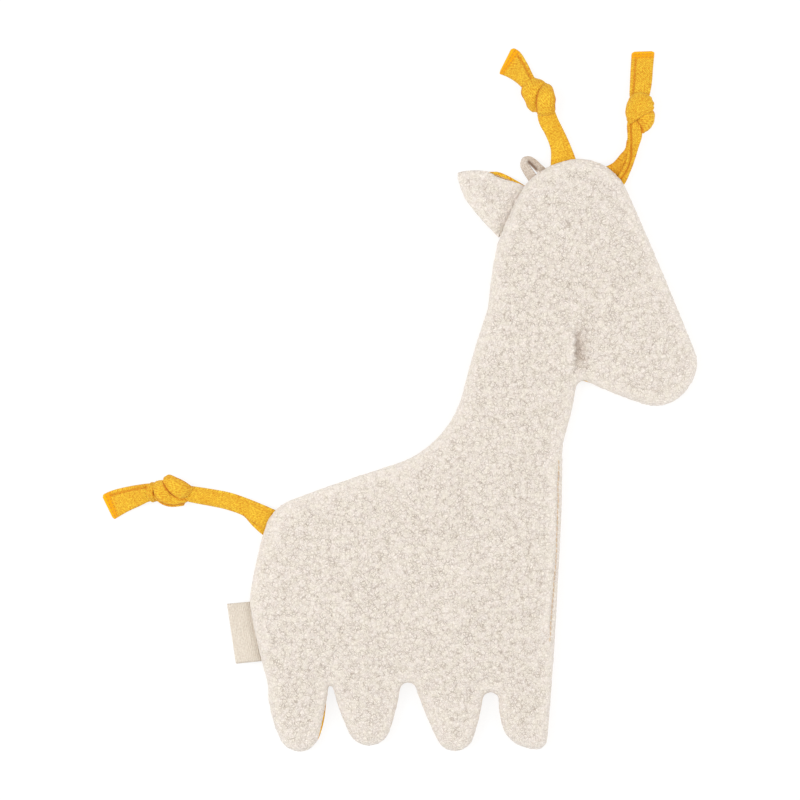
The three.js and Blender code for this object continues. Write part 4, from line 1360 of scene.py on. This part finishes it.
label = piece_mesh("twill_side_tag", label_points, label_faces, cream_tape)
label_corners = np.empty(len(label.data.loops), int)
label.data.loops.foreach_get("vertex_index", label_corners)
label_map = label.data.uv_layers.new(name="cloth")
label_map.data.foreach_set("uv", np.array(label_marks, np.float32)[label_corners].ravel())
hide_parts("side_label")
bent_at_seam(label)

# Floor, light and camera: a white table top under soft light from above and both sides, with the camera
# straight over the comforter, far enough away for its lens to flatten the view.
floor_size = 1.6
floor_height = -0.0003
floor_glow_strength = 1.05
floor_glow_share = 0.8
sky_strength = 0.62
white = (1.0, 1.0, 1.0, 1.0)
floor_corners = np.array([(-1, -1), (1, -1), (1, 1), (-1, 1)]) * floor_size
floor_mesh = bpy.data.meshes.new("table_top")
floor_mesh.from_pydata(raised(floor_corners, floor_height).tolist(), [], [(0, 1, 2, 3)])
floor = linked("table_top", floor_mesh)
floor_material, floor_tree, floor_shader = new_material("white_table")
floor_shader.inputs["Base Color"].default_value = (0.95, 0.95, 0.95, 1.0)
floor_shader.inputs["Roughness"].default_value = 0.9
floor_glow = result(floor_tree, "ShaderNodeEmission", {"Color": white, "Strength": floor_glow_strength})
floor_rays = add_node(floor_tree, "ShaderNodeLightPath").outputs
floor_seen = maths(floor_tree, "MAXIMUM", floor_rays["Is Camera Ray"], floor_rays["Is Glossy Ray"])
floor_seen = maths(floor_tree, "MAXIMUM", floor_seen, floor_rays["Is Transmission Ray"])
floor_seen = times(floor_tree, floor_seen, floor_glow_share)
floor_mix = {0: floor_seen, 1: floor_shader.outputs[0], 2: floor_glow}
floor_mix = result(floor_tree, "ShaderNodeMixShader", floor_mix)
floor_tree.links.new(floor_mix, floor_tree.nodes["Material Output"].inputs["Surface"])
floor_mesh.materials.append(floor_material)

world = bpy.data.worlds.new("studio")
world.use_nodes = True
world.node_tree.nodes["Background"].inputs["Color"].default_value = white
world.node_tree.nodes["Background"].inputs["Strength"].default_value = sky_strength
bpy.context.scene.world = world
for lamp_name, lamp_place, lamp_size, lamp_power in (
    ("left_softbox", (-0.8, 0.05, 1.0), 0.7, 8.2),
    ("right_fill", (0.9, 0.0, 0.9), 1.0, 6.4),
):
    lamp = bpy.data.lights.new(lamp_name, "AREA")
    lamp.size = lamp_size
    lamp.energy = lamp_power
    lamp_object = linked(lamp_name, lamp)
    lamp_object.location = lamp_place
    lamp_object.rotation_euler = (-Vector(lamp_place)).to_track_quat("-Z", "Y").to_euler()

view_width = 0.336
camera_height = 1.6
camera_shift = Vector((-0.00015, 0.00003, 0.004))
camera = bpy.data.cameras.new("camera")
camera.sensor_width = 36.0
camera.lens = camera.sensor_width * camera_height / view_width
camera_object = linked("camera", camera)
camera_object.location = Vector((0, 0, camera_height)) + camera_shift
bpy.context.scene.camera = camera_object
bpy.context.scene.view_settings.view_transform = "Standard"
